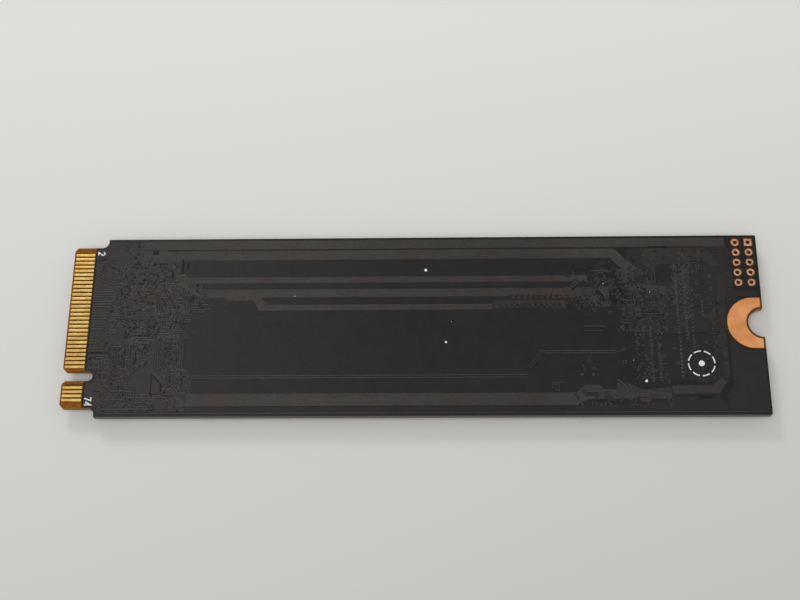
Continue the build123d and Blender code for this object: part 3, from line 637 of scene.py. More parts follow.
for name, title, up in (
    ("edge_contacts_even", "contactFingersAbove", 1), ("edge_contacts_odd", "contactFingersBelow", -1),
):
    fingers, tones = contactFingers(name, up)
    addPiece(title, [fingers], "gold_plating", (name,), smooth=40, shade=tones)
print("contact fingers made")


# Copper pad round the screw notch: a half circle towards the contacts and an arc just outside the notch,
# joined along the end edge, with sloping sides
groundPad = {"radius": 3.1, "notch": 1.75, "notchGap": 0.2, "steps": 48, "thick": 0.04}


def padOutline():
    look = groundPad
    radius = look["radius"]
    low, high = nodeBox("ground_pad_plain_side")
    notch = look["notch"] + look["notchGap"]
    half = math.degrees(math.acos((endX - high[0]) / notch))
    outer = arcPoints((low[0] + radius, 0), radius, 90, 270, look["steps"])
    inner = arcPoints((endX, 0), notch, half - 180, -half - 180, look["steps"])
    return np.vstack([[(high[0], radius)], outer, [(high[0], -radius)], inner])


pad = field(padOutline(), plainFaceZ, groundPad["thick"])
addPiece("copperPadAbove", [pad], "bare_copper", ("ground_pad_plain_side",))
addPiece("copperPadBelow", [overturned(pad, middleZ)], "bare_copper", ("ground_pad_component_side",))

# Plated holes of the header: each is a ring profile (radius, height) turned round its axis, with rounded
# lands, and its bore narrows towards the chip side. The last land is square: its points move out by
# radius / max(|x|, |y|), which ends at the corner's value
header = {
    "rows": 5, "rim": 0.46, "land": 0.435, "bore": 0.222, "narrow": 0.84, "wall": 0.03, "thick": 0.04,
    "round": 0.02, "bevel": 0.3, "swell": 0.003, "corner": 1.36, "sides": 40,
}


def platedHoles():
    look = header
    low, high = nodeBox("header_barrels")
    land, bore, soft = look["land"], look["bore"], look["round"]
    bevel = soft * look["bevel"]
    inside = land - 2 * soft  # what lies farther out is the rim of the land
    halfCard = (plainFaceZ - chipFaceZ) / 2
    top = halfCard + look["thick"]
    upper = [
        (bore + look["wall"], halfCard), (land, halfCard), (land, top - soft), (land - bevel, top - bevel),
        (land - soft, top), (bore + 2 * soft, top + look["swell"]), (bore + soft, top - bevel),
        (bore, top - 2 * soft),
    ]
    lower = [(radius if radius > inside else radius * look["narrow"], -height) for radius, height in upper]
    vertices, faces = turned(lower[::-1] + upper, look["sides"], ring=True)
    across = np.linspace(low[1] + look["rim"], high[1] - look["rim"], look["rows"])
    along = (low[0] + look["rim"], high[0] - look["rim"])
    places = [(x, y, middleZ) for x in along for y in across]
    radius = np.hypot(vertices[:, 0], vertices[:, 1])
    stretch = np.minimum(radius / np.abs(vertices[:, :2]).max(1), look["corner"])
    stretch = np.where(radius > inside, stretch, 1)
    square = vertices * np.column_stack([stretch, stretch, np.ones(len(stretch))])
    return [copies((vertices, faces), places[:-1]), copies((square, faces), places[-1:])]


addPiece("platedHoles", platedHoles(), "plated_copper", ("header_barrels",), smooth=35)
print("pads and plated holes made")


# Copper under the mask on the plain side, as far as the CAD relief doesn't carry it. Rises are shares of
# a line's height. Tone and shade are how dark a point is: 0 as over the CAD's copper runs, below 0
# lighter, 1 as over bare laminate, above 1 a hole
relief = {
    "height": 0.026, "low": 0.020, "step": 0.00024, "levels": 48, "stride": 7,
    "clearance": 0.11, "skirtRise": 1.04, "innerRise": 1.06, "crestRise": 1.35,
    "skirtTone": 0.7, "clearTone": 1.35, "gapTone": 2.0, "rowTone": -0.45,
    "linkWidth": 0.12, "breakWidth": 0.15, "breakRise": 1.2, "gapRise": 1.45, "strandRise": 1.3,
    "viaSides": 10, "stagger": 0.87, "jitter": 0.09, "turns": (0, 0, 60, 90, 120),
}

# Broad fields: outline and shade
fields = [
    ([(2.62, 9.75), (3.95, 9.75), (4.3, 10.62), (8.4, 10.62), (9.0, 9.6), (12.9, 9.4), (12.9, 6.0),
      (13.9, 5.5), (14.5, 4.9), (14.5, 4.0), (13.5, 3.1), (14.6, 2.2), (13.4, 1.0), (13.1, -0.4),
      (13.4, -1.5), (13.4, -5.3), (14.9, -6.8), (14.9, -9.6), (14.3, -9.9), (14.3, -10.45),
      (4.3, -10.45), (3.95, -9.8), (2.62, -9.7), (2.62, -6.95), (3.5, -6.95), (3.9, -6.6), (3.9, -5.65),
      (3.5, -5.3), (2.62, -5.3)], 0.33),
    ([(4.25, 9.5), (7.9, 9.5), (7.9, 10.4), (4.6, 10.4)], 0.46),
    ([(3.1, 5.2), (5.2, 5.2), (5.2, 8.6), (4.2, 9.2), (3.1, 8.6)], 0.42),
    ([(7.2, 8.65), (8.25, 9.7), (12.2, 9.7), (12.2, 8.1), (8.8, 8.1), (7.2, 8.1)], 0.12),
    ([(10.6, 4.8), (12.9, 6.9), (13.9, 5.9), (13.3, 4.7), (12.4, 4.2)], 0.12),
    ([(12.4, 3.2), (13.4, 3.2), (14.4, 2.3), (14.0, 1.4), (12.6, 1.7)], 0.1),
    ([(4.7, -2.0), (6.8, -2.0), (6.8, -5.0), (4.7, -5.0)], 0.5),
    ([(11.5, -2.2), (13.2, -2.2), (13.2, -4.9), (11.5, -4.9)], 0.5),
    ([(7.5, -5.3), (8.2, -5.9), (10.2, -5.9), (10.8, -5.3)], 0.18),
    ([(10.3, -5.9), (11.1, -5.1), (12.3, -6.3), (11.9, -7.1), (11.3, -6.9)], 0.06),
    ([(7.6, -6.05), (10.1, -6.05), (10.1, -7.95), (7.6, -7.95)], 0.5),
    ([(10.45, -6.8), (10.95, -6.85), (11.15, -7.3), (11.15, -8.2), (10.45, -8.2)], 0.3),
    ([(12.2, -6.9), (12.9, -6.9), (14.3, -8.3), (14.3, -9.8), (12.6, -8.4), (12.2, -7.6)], 0.1),
    ([(4.2, -8.9), (5.3, -10.0), (9.6, -10.0), (8.6, -8.9), (6.9, -8.3)], 0.26),
    ([(14.6, -9.95), (57.9, -9.95), (57.9, -10.5), (14.3, -10.5)], 0.93),
    ([(14.7, 3.5), (15.1, 3.3), (14.8, 2.7), (15.3, 2.2), (16.6, 2.2), (16.6, 1.85), (14.4, 1.85),
      (14.4, 2.35)], 0.12),
    ([(14.5, 5.3), (15.6, 4.4), (17.2, 3.4), (17.2, 3.0), (15.4, 4.0), (14.0, 5.0)], 0.14),
    ([(15.1, 3.3), (15.0, 2.7), (15.4, 2.25), (18.3, 2.2), (19.2, 3.1), (18.7, 3.45), (16.4, 3.45)], 0.9),
    ([(17.9, 3.5), (18.7, 3.05), (21.6, 3.05), (22.9, 1.75), (24.2, 1.75), (22.3, 3.5)], 0.12),
    ([(64.8, 9.35), (76.9, 9.35), (76.9, 4.2), (75.9, 3.0), (75.9, -1.0), (69.0, -1.4),
      (64.6, -1.0)], 0.74),
    ([(66.0, -1.6), (75.2, -1.2), (75.2, -7.0), (66.6, -7.0)], 0.88),
    ([(66.5, 9.5), (75.0, 9.5), (75.8, 8.7), (75.8, 8.0), (74.4, 8.6), (66.8, 8.2)], 0.5),
    ([(49.3, 1.95), (57.6, 1.95), (57.6, 2.95), (49.3, 2.95)], 0.45),
    ([(57.5, 4.62), (60.9, 4.5), (60.9, 3.5), (57.5, 3.3)], 0.14),
    ([(51.2, 3.5), (59.2, 3.3), (59.2, 2.9), (51.2, 2.9)], 0.93),
    ([(13.0, 5.35), (60.2, 5.35), (60.2, 5.24), (13.2, 5.24)], 0.0),
    ([(16.0, 3.55), (51.0, 3.55), (51.0, 3.43), (16.2, 3.43)], 0.0),
    ([(8.3, 8.27), (62.8, 8.27), (62.8, 8.18), (8.3, 8.18)], 0.0),
    ([(15.0, -8.37), (58.4, -8.37), (58.4, -8.3), (15.0, -8.3)], 0.0),
    ([(59.4, 4.6), (61.2, 4.6), (61.2, 3.2), (62.8, 2.2), (61.6, 1.9), (60.4, 2.8), (59.4, 3.2)], 0.4),
    ([(61.2, 4.6), (62.8, 4.6), (62.8, 2.7), (61.7, 2.4), (61.2, 3.0)], 0.3),
    ([(64.5, 4.8), (66.1, 5.0), (69.0, 4.6), (69.9, 3.8), (69.2, 3.5), (67.9, 4.0), (64.4, 4.1)], 0.2),
    ([(67.6, 7.6), (68.1, 7.6), (68.1, 5.1), (67.6, 5.1)], 0.5),
    ([(68.2, 7.5), (69.9, 7.5), (69.9, 5.0), (68.2, 5.0)], 0.93),
    ([(63.3, 6.9), (64.6, 6.9), (65.1, 5.2), (64.5, 5.0), (63.4, 5.9)], 0.35),
    ([(64.0, 2.0), (66.2, 2.0), (66.2, 0.8), (65.2, 1.2), (64.0, 1.0)], 0.35),
    ([(66.4, 8.0), (67.9, 8.9), (69.2, 8.1), (71.9, 8.6), (73.2, 9.2), (74.6, 8.6), (75.6, 7.3),
      (74.9, 7.0), (73.3, 8.1), (72.2, 7.3), (68.8, 7.4), (67.2, 6.9)], 0.5),
    ([(75.1, 5.9), (76.9, 6.6), (77.0, 4.9), (76.0, 4.3), (75.7, 3.0), (75.7, -6.7), (75.0, -6.7),
      (75.0, 5.0)], 0.62),
    ([(74.3, 2.0), (74.7, 2.0), (74.7, 0.6), (73.3, 0.6), (73.3, 1.1), (74.3, 1.1)], 0.35),
    ([(73.9, 10.6), (76.5, 10.6), (76.5, 7.6), (75.9, 7.4), (75.0, 8.3), (73.9, 9.3)], 0.75),
    ([(75.9, 4.0), (79.8, 4.0), (79.8, 3.3), (77.4, 3.25), (75.95, 1.5)], 0.78),
    ([(75.95, -1.5), (77.4, -3.25), (79.8, -3.3), (79.8, -10.5), (75.2, -10.5), (75.2, -8.6),
      (75.95, -7.6)], 0.76),
    ([(69.1, -7.5), (73.6, -7.5), (74.6, -6.7), (75.3, -7.1), (74.4, -8.5), (69.1, -8.6)], 0.34),
    ([(59.4, -7.4), (61.0, -7.4), (61.9, -8.3), (65.2, -8.3), (69.0, -8.1), (69.0, -9.1), (61.2, -9.1),
      (58.6, -8.3)], 0.2),
    ([(65.3, -8.9), (66.9, -8.9), (66.6, -9.5), (65.6, -9.5)], 0.2),
    ([(63.0, -6.7), (64.3, -7.2), (66.6, -8.3), (66.9, -7.9), (69.0, -7.7), (69.0, -8.4),
      (62.9, -8.4)], 0.4),
    ([(69.2, -8.9), (74.2, -8.9), (75.1, -9.6), (75.1, -10.5), (58.2, -10.5), (58.2, -9.9),
      (69.2, -9.4)], 0.8),
]

# Signal traces: path, line width, shade, and for lines side by side their count and pitch
traces = [
    ([(7.6, -1.85), (9.7, -1.85), (10.95, -3.1), (10.95, -4.95), (12.25, -6.25), (12.9, -7.0),
      (14.35, -8.45)], 0.13, -0.45, 4, 0.27),
    ([(12.3, -0.72), (13.35, -0.72), (14.05, -1.42), (14.05, -1.75)], 0.12, -0.3, 2, 0.28),
    ([(13.5, -1.9), (13.5, -5.205), (14.62, -6.325)], 0.13, -0.35, 2, 0.28),
    ([(8.1, -0.5), (8.35, -0.3), (8.6, -0.55), (8.6, -0.9), (8.3, -1.1), (8.0, -0.95)], 0.12, -0.45),
    ([(7.5, -2.6), (7.5, -4.95), (8.35, -5.8)], 0.14, -0.25, 3, 0.33),
    ([(5.7, -2.9), (5.7, -5.1), (5.3, -5.5), (5.3, -6.8)], 0.12, -0.1, 4, 0.3),
    ([(3.7, -8.95), (4.85, -10.1), (9.1, -10.1)], 0.13, -0.6),
    ([(4.6, -6.75), (5.8, -7.95), (7.35, -7.9), (7.85, -8.1)], 0.15, -0.5),
    ([(7.55, -9.05), (8.45, -9.95), (10.2, -9.95)], 0.14, -0.3, 2, 0.3),
    ([(8.55, -8.38), (10.25, -8.38)], 0.15, -0.4),
    ([(8.6, -8.72), (11.95, -8.72), (12.85, -9.6), (13.7, -9.6)], 0.14, -0.4),
    ([(5.5, -8.05), (6.15, -8.85), (7.4, -9.05)], 0.13, -0.35),
    ([(6.65, -7.2), (6.65, -6.35), (6.85, -6.15), (7.25, -6.15), (7.45, -6.35), (7.45, -7.2)], 0.15, -0.35),
    ([(7.6, -8.0), (8.4, -8.0), (8.4, -8.75), (7.6, -8.75), (7.6, -8.2)], 0.13, -0.35),
    ([(12.3, -2.5), (13.1, -2.5), (13.35, -2.75), (12.5, -2.8)], 0.13, -0.2),
    ([(11.8, -3.7), (12.3, -3.95)], 0.12, -0.3),
    ([(6.0, 7.05), (6.65, 7.7)], 0.13, -0.2, 3, 0.32),
    ([(3.0, 8.1), (4.1, 8.1), (4.6, 7.6), (5.6, 7.6)], 0.15, -0.35),
    ([(2.9, 6.5), (3.6, 6.1), (4.9, 5.6), (5.6, 5.6)], 0.14, -0.25, 3, 0.33),
    ([(2.7, 4.0), (5.3, 4.0)], 0.15, -0.3, 3, 0.33),
    ([(2.7, 2.75), (4.9, 2.75), (5.4, 2.25)], 0.15, -0.3, 3, 0.33),
    ([(2.7, 1.3), (4.6, 1.3), (4.9, 1.0), (6.6, 1.0)], 0.15, -0.3, 3, 0.33),
    ([(2.7, -0.2), (4.3, -0.2), (4.8, -0.7), (6.0, -0.7)], 0.15, -0.3, 2, 0.33),
    ([(2.7, -1.9), (3.6, -1.9), (4.5, -1.05), (4.9, -1.05)], 0.15, -0.3, 2, 0.33),
    ([(2.8, -3.05), (4.9, -3.05)], 0.15, -0.45),
    ([(2.8, -3.6), (4.4, -3.6), (5.0, -4.2)], 0.15, -0.3),
    ([(4.1, -4.1), (4.1, -5.3), (4.6, -5.8)], 0.13, -0.2, 3, 0.3),
    ([(10.3, 2.0), (10.3, 3.3), (10.0, 3.7), (10.0, 4.6)], 0.13, -0.35, 2, 0.32),
    ([(11.0, 2.9), (11.5, 2.3)], 0.12, -0.4, 3, 0.28),
    ([(11.75, 3.5), (12.4, 4.15)], 0.12, -0.4, 4, 0.28),
    ([(11.8, 6.0), (12.6, 5.3)], 0.13, -0.35, 3, 0.28),
    ([(12.65, 5.0), (12.65, 4.2), (13.0, 3.9)], 0.13, -0.3, 2, 0.3),
    ([(12.5, 3.0), (13.6, 3.0)], 0.14, -0.3),
    ([(9.8, 1.9), (10.3, 1.4), (10.3, 0.5)], 0.13, -0.35, 2, 0.28),
    ([(10.5, 1.8), (11.4, 0.9), (11.4, -0.6)], 0.13, -0.35, 2, 0.28),
    ([(8.0, 1.5), (9.4, 1.5)], 0.14, -0.3, 2, 0.3),
    ([(6.2, 0.45), (6.7, 0.45), (7.3, -0.1)], 0.16, -0.35, 2, 0.3),
    ([(13.6, 0.9), (14.4, 0.9)], 0.13, -0.05, 4, 0.3),
    ([(14.2, 5.3), (15.4, 4.05)], 0.16, -0.35),
    ([(15.6, 3.75), (14.6, 2.7)], 0.16, -0.3),
    ([(14.5, 2.0), (16.3, 2.0)], 0.12, -0.1),
    ([(14.5, 1.68), (15.9, 1.68)], 0.12, -0.1),
    ([(59.6, -0.33), (62.1, -0.33)], 0.15, -0.15),
    ([(59.6, -0.85), (61.6, -0.85)], 0.13, 0.3),
    ([(63.7, 0.25), (65.0, 0.25)], 0.15, 0.1, 2, 0.35),
    ([(53.0, -5.45), (54.25, -4.2), (54.25, -3.9), (54.8, -3.4)], 0.11, 0.62, 2, 0.28),
    ([(63.0, -3.4), (63.7, -3.4), (63.9, -3.0)], 0.14, 0.3),
    ([(55.7, -7.1), (57.1, -7.1)], 0.18, 0.35),
    ([(55.75, -8.0), (55.75, -7.3), (56.55, -7.3), (56.55, -8.0), (55.9, -8.0)], 0.16, 0.45),
    ([(59.2, -5.0), (59.45, -5.4), (59.55, -5.9)], 0.17, 0.15),
    ([(63.1, -6.85), (63.75, -7.35), (64.1, -7.8)], 0.26, -0.1),
    ([(60.7, 1.5), (61.2, 2.0)], 0.14, 0.0, 2, 0.3),
    ([(61.55, 4.3), (62.1, 3.7), (62.2, 3.3)], 0.2, -0.9),
    ([(63.9, 3.0), (64.9, 2.8)], 0.2, -0.6),
    ([(65.5, 3.0), (65.5, 2.0)], 0.2, -0.1),
    ([(68.0, 6.2), (68.0, 4.9)], 0.26, 0.3),
    ([(66.3, 1.0), (68.6, 1.0)], 0.13, 0.1, 2, 0.34),
    ([(61.7, 7.5), (62.5, 7.5)], 0.3, 0.45),
    ([(60.6, 6.6), (62.6, 6.6)], 0.2, 0.2),
    ([(58.2, 4.5), (59.2, 5.4)], 0.15, 0.0, 2, 0.34),
]

# Gaps in the copper, which show dark, and two painted shadow lines by the contacts: path, width, and for gaps
# side by side their count and pitch
gaps = [
    # These two are painted shadow: dark lines along the mask's edge by the inner ends of the contacts
    ([(2.66, 9.68), (2.66, -5.28)], 0.13),
    ([(2.66, -6.98), (2.66, -9.66)], 0.13),
    ([(9.3, 9.25), (10.0, 9.25)], 0.62),
    ([(11.05, 9.5), (12.3, 9.5)], 0.2),
    ([(8.2, 9.62), (10.1, 9.62)], 0.1),
    ([(2.9, 8.35), (3.95, 8.35)], 0.12),
    ([(12.95, 8.4), (12.95, 6.5)], 0.2),
    ([(11.85, 6.9), (11.85, 5.95)], 0.2),
    ([(8.0, 5.27), (8.6, 5.27)], 0.28),
    ([(9.0, 5.3), (9.55, 5.85)], 0.22),
    ([(7.35, 7.9), (7.4, 7.2)], 0.12),
    ([(6.9, 7.2), (6.9, 5.9)], 0.14),
    ([(6.3, 7.15), (6.7, 7.5)], 0.14),
    ([(2.8, -3.3), (4.85, -3.3)], 0.2),
    ([(6.85, -0.6), (6.85, -1.65)], 0.2),
    ([(8.0, -1.2), (9.8, -1.2)], 0.14),
    ([(9.0, -2.3), (9.6, -2.35), (10.1, -2.85)], 0.2),
    ([(7.0, -2.8), (7.0, -4.95)], 0.14),
    ([(8.25, -3.0), (8.25, -4.8)], 0.14),
    ([(13.0, -3.2), (13.0, -4.8)], 0.14),
    ([(10.3, -6.0), (10.3, -8.35), (11.45, -8.35), (11.35, -7.1), (10.35, -6.05)], 0.14),
    ([(4.35, -5.2), (4.35, -6.6)], 0.14),
    ([(12.4, -6.1), (12.4, -7.0)], 0.16),
    ([(12.4, 0.9), (12.3, -0.2)], 0.16, 2, 0.4),
    ([(10.1, 0.1), (10.1, -0.8)], 0.14),
    ([(58.4, 4.15), (59.0, 4.75)], 0.24),
    ([(61.1, 4.0), (61.7, 3.6), (62.1, 2.7)], 0.34),
    ([(62.7, 4.2), (62.8, 3.0)], 0.26),
    ([(61.2, 2.7), (61.6, 2.3)], 0.24),
    ([(59.6, -8.4), (60.7, -8.4), (60.8, -8.65), (59.5, -8.65)], 0.22),
    ([(65.3, -8.85), (66.6, -9.05)], 0.16),
    ([(67.4, 9.55), (69.6, 9.55)], 0.3),
    ([(71.9, 8.35), (72.5, 8.35)], 0.2),
    ([(65.2, 5.5), (65.2, 4.9)], 0.2),
    ([(66.5, 4.2), (66.9, 4.2)], 0.28),
    ([(68.2, 4.3), (68.35, 3.9)], 0.2),
    ([(63.2, 2.9), (63.4, 2.3)], 0.34),
    ([(72.0, -9.0), (73.6, -9.0)], 0.3),
    ([(13.6, 7.9), (13.6, 7.2)], 0.14),
]

# Dark lines on the raised runs, where a run is narrower than its step or has strands: ends along the
# card, place across, width and shade
strands = [
    (12.6, 60.2, 6.04, 0.11, 1.0), (15.4, 57.6, 4.53, 0.22, 1.0), (22.8, 49.2, 2.56, 0.17, 1.0),
    (15.0, 58.4, -9.815, 0.09, 1.0), (14.0, 59.4, 5.745, 0.035, 0.9), (16.4, 57.0, 4.21, 0.035, 0.9),
    (23.4, 49.0, 2.19, 0.035, 0.9), (15.6, 57.6, -8.475, 0.04, 0.95),
    *[(51.3 + 0.66 * n, 51.55 + 0.66 * n, 3.6, 0.15, 1.4) for n in range(9)],
]

# Single vias, lands and holes: place and diameter
vias = {
    "ring": [
        (13.4, 3.4, 0.3), (14.9, -0.9, 0.3), (72.8, 5.0, 0.6), (72.8, 3.35, 0.62), (74.3, 4.2, 0.5),
        (68.5, 2.5, 0.5), (62.6, 1.3, 0.5), (64.0, -0.5, 0.5), (64.0, -3.1, 0.45), (64.0, -4.7, 0.5),
        (65.5, -2.3, 0.45), (68.9, -0.8, 0.5), (60.0, -4.6, 0.45), (60.5, -5.5, 0.4), (68.8, -7.1, 0.5),
        (74.7, -6.9, 0.5), (65.6, -3.8, 0.34), (71.2, -9.1, 0.4), (5.0, 8.6, 0.4), (57.4, 2.2, 0.36),
        (55.6, 3.9, 0.28), (53.6, 3.7, 0.3), (12.5, -9.85, 0.36), (13.4, -9.8, 0.4), (6.35, -5.4, 0.3),
        (67.4, 3.75, 0.6), (6.4, -8.4, 0.42), (5.1, -1.15, 0.4), (5.65, -1.3, 0.34),
    ],
    "land": [
        (8.6, 8.6, 0.5), (6.4, 4.0, 0.3), (8.6, -4.2, 0.34), (10.2, -3.4, 0.4), (74.3, 5.8, 0.6),
        (74.3, -0.05, 0.36), (60.4, -6.2, 0.4), (59.1, -6.2, 0.4), (69.7, -3.1, 0.34), (66.4, -3.9, 0.3),
        (11.8, -9.8, 0.36),
    ],
    "hole": [
        (9.6, 7.72, 0.44), (9.55, 7.0, 0.32), (8.9, 7.75, 0.26), (10.3, 7.75, 0.3), (8.5, 5.75, 0.3),
        (9.2, 6.05, 0.26), (10.1, 5.78, 0.26), (10.75, 5.85, 0.3), (10.7, 5.28, 0.28), (10.65, 6.3, 0.26),
        (5.9, 4.02, 0.55), (6.2, 3.0, 0.36), (6.9, 3.8, 0.28), (5.05, 1.85, 0.34), (5.7, 1.5, 0.28),
        (10.1, 3.9, 0.24), (10.15, 4.4, 0.24), (11.15, 2.6, 0.32), (14.2, 2.2, 0.22), (3.0, -4.1, 0.34),
        (12.8, -8.55, 0.26), (13.45, -8.75, 0.26), (12.6, -7.75, 0.3), (12.0, -0.3, 0.28),
        (64.3, 7.35, 0.34), (63.9, 7.8, 0.3), (62.7, 7.9, 0.28), (63.3, 6.4, 0.4), (61.1, 6.4, 0.28),
        (61.5, 6.05, 0.28), (60.7, 5.8, 0.28), (60.05, 0.75, 0.28), (16.1, 4.6, 0.2), (15.2, 4.1, 0.2),
        (66.0, -8.5, 0.26), (54.9, -9.3, 0.24), (16.9, 3.6, 0.2), (20.3, 3.4, 0.2), (9.15, 8.95, 0.2),
    ],
}

# Rows of vias: start, step, count, diameter, kind
viaRows = [
    ((50.0, 2.3), (0.69, 0), 11, 0.3, "hole"), ((50.3, 2.08), (0.69, 0), 10, 0.22, "hole"),
    ((51.6, 3.3), (0.66, 0), 10, 0.36, "ring"), ((51.0, 2.75), (1.32, 0), 6, 0.26, "ring"),
    ((67.1, -7.0), (0, 0.38), 18, 0.32, "ring"), ((68.0, -6.9), (0, 0.4), 12, 0.34, "ring"),
    ((70.35, -1.2), (0, 0.4), 22, 0.34, "ring"), ((71.25, -1.9), (0, 0.42), 21, 0.34, "ring"),
    ((71.95, -3.0), (0, 0.5), 11, 0.3, "ring"), ((70.4, -6.4), (0, 0.45), 11, 0.3, "land"),
    ((66.3, -1.3), (0, 0.36), 6, 0.3, "ring"), ((65.5, 5.4), (0.0, 0.42), 5, 0.3, "ring"),
    ((63.1, 5.9), (0.42, 0), 4, 0.28, "hole"), ((73.2, 2.6), (0.0, -0.4), 5, 0.26, "land"),
]

# Zones packed with vias, lands and short links, too fine to place one by one: low corner, high corner,
# pitch, shares of the busy kinds, and the shade of their light parts. Each kind has its size or half
# length as a share of the pitch, and what is left of the shares stays bare
busyKinds = (("ring", 0.85), ("hole", 0.62), ("land", 0.6), ("link", 0.75), ("break", 0.6), ("bare", 0))
busyZones = [
    ((5.5, 4.5), (12.6, 7.9), 0.47, (0.18, 0.26, 0.12, 0.22, 0.10), -0.9),
    ((5.3, -0.1), (13.2, 4.4), 0.47, (0.14, 0.22, 0.12, 0.30, 0.10), -0.95),
    ((3.0, 6.3), (5.4, 9.4), 0.6, (0.05, 0.06, 0.06, 0.20, 0.06), -0.2),
    ((5.2, 8.0), (9.0, 10.3), 0.6, (0.05, 0.06, 0.08, 0.18, 0.06), -0.3),
    ((4.6, -5.0), (9.6, -2.0), 0.47, (0.10, 0.20, 0.12, 0.30, 0.10), -0.7),
    ((6.9, -1.8), (13.0, -0.2), 0.45, (0.10, 0.24, 0.14, 0.30, 0.08), -0.95),
    ((2.9, -5.1), (4.6, -3.8), 0.45, (0.08, 0.20, 0.10, 0.30, 0.08), -0.6),
    ((4.2, -8.0), (7.4, -5.2), 0.52, (0.06, 0.12, 0.08, 0.24, 0.08), -0.4),
    ((4.6, -10.3), (14.0, -8.3), 0.52, (0.08, 0.12, 0.10, 0.24, 0.08), -0.4),
    ((11.5, -8.2), (14.4, -5.3), 0.45, (0.10, 0.22, 0.10, 0.30, 0.08), -0.8),
    ((11.4, -5.0), (13.2, -1.6), 0.50, (0.06, 0.10, 0.10, 0.26, 0.06), -0.35),
    ((12.8, 2.2), (15.6, 5.4), 0.46, (0.10, 0.22, 0.10, 0.28, 0.08), -0.4),
    ((60.9, 2.2), (67.6, 6.6), 0.42, (0.24, 0.30, 0.20, 0.05, 0.03), 0.0),
    ((67.6, 2.2), (70.0, 4.4), 0.44, (0.24, 0.26, 0.18, 0.05, 0.02), 0.05),
    ((63.6, -0.9), (69.0, 2.2), 0.44, (0.24, 0.22, 0.18, 0.06, 0.02), 0.05),
    ((57.3, 1.9), (61.0, 3.9), 0.44, (0.20, 0.24, 0.16, 0.08, 0.03), 0.05),
    ((58.0, 5.2), (62.0, 6.9), 0.44, (0.14, 0.32, 0.14, 0.06, 0.04), 0.1),
    ((62.6, 6.5), (65.4, 8.3), 0.46, (0.16, 0.28, 0.18, 0.04, 0.02), 0.1),
    ((70.0, 2.6), (70.9, 7.3), 0.36, (0.34, 0.12, 0.26, 0.0, 0.0), -0.5),
    ((71.2, 0.6), (72.1, 7.3), 0.36, (0.34, 0.12, 0.26, 0.0, 0.0), -0.45),
    ((71.0, 6.4), (73.4, 8.8), 0.44, (0.24, 0.08, 0.24, 0.10, 0.0), -0.1),
    ((66.0, 8.0), (75.0, 9.3), 0.56, (0.12, 0.08, 0.20, 0.08, 0.03), 0.15),
    ((65.4, -6.6), (68.6, -0.9), 0.50, (0.22, 0.08, 0.16, 0.08, 0.0), 0.1),
    ((70.0, -7.0), (75.4, 3.0), 0.60, (0.10, 0.04, 0.14, 0.06, 0.0), 0.35),
    ((58.0, -9.7), (69.0, -8.1), 0.52, (0.06, 0.08, 0.14, 0.20, 0.0), 0.1),
]

# Turned shapes one millimetre across: (radius, height share) and the shade of each ring of points, with
# the ends of the axis first and last. None takes the shade asked for
viaLooks = {
    "ring": (
        [(0, 0.4), (0.16, 0.5), (0.3, 1.25), (0.42, 1.3), (0.5, 1.1), (0.5, 0), (0, 0)],
        (1.9, 1.9, None, None, 0.9, 0.9),
    ),
    "land": (
        [(0, 1.35), (0.25, 1.4), (0.4, 1.3), (0.5, 1.05), (0.5, 0), (0, 0)],
        (None, None, None, 1.1, 1.1),
    ),
    "hole": (
        [(0, 1.1), (0.25, 1.1), (0.4, 1.15), (0.5, 1.1), (0.5, 0), (0, 0)],
        (2.0, 2.0, 1.8, 0.6, 0.6),
    ),
}


# One via, land or hole, and the shade of each of its points
def viaShape(kind, light):
    profile, tones = viaLooks[kind]
    shape = turned([(radius, share * relief["height"]) for radius, share in profile], relief["viaSides"])
    tones = [light if tone is None else tone for tone in tones]
    return shape, np.concatenate([np.repeat(tones[1:], relief["viaSides"]), [tones[0], tones[-1]]])


# A light line with a dark clearance on both sides: two flat skirts and a raised middle
def clearedTrace(points, width, top, light):
    half, low = width / 2, plainMaskZ
    edge = half + relief["clearance"]
    skirt, inner, crest = (low + relief[rise] * top for rise in ("skirtRise", "innerRise", "crestRise"))
    profile = [
        (-edge, low), (-edge, skirt), (-half, inner), (-half / 2, crest),
        (half / 2, crest), (half, inner), (edge, skirt), (edge, low),
    ]
    pale, dark = relief["skirtTone"], relief["clearTone"]
    tones = [pale, pale, dark, light, light, dark, pale, pale]
    return carried(points, profile), np.tile(tones, len(points))


# Sorts the cells of a staggered grid into the busy kinds, by shares
def busyCells(low, high, pitch, shares):
    rows = np.arange(low[1], high[1], pitch * relief["stagger"])
    x, y = np.meshgrid(np.arange(low[0], high[0], pitch), rows)
    x = x + (np.arange(len(y)) % 2)[:, None] * pitch / 2
    centres = np.column_stack([x.ravel(), y.ravel()])
    centres += draw.uniform(-relief["jitter"], relief["jitter"], centres.shape) * pitch
    kinds = np.searchsorted(np.cumsum(shares), draw.random(len(centres)))
    turns = np.radians(draw.choice(relief["turns"], len(centres)))
    return centres, kinds, turns


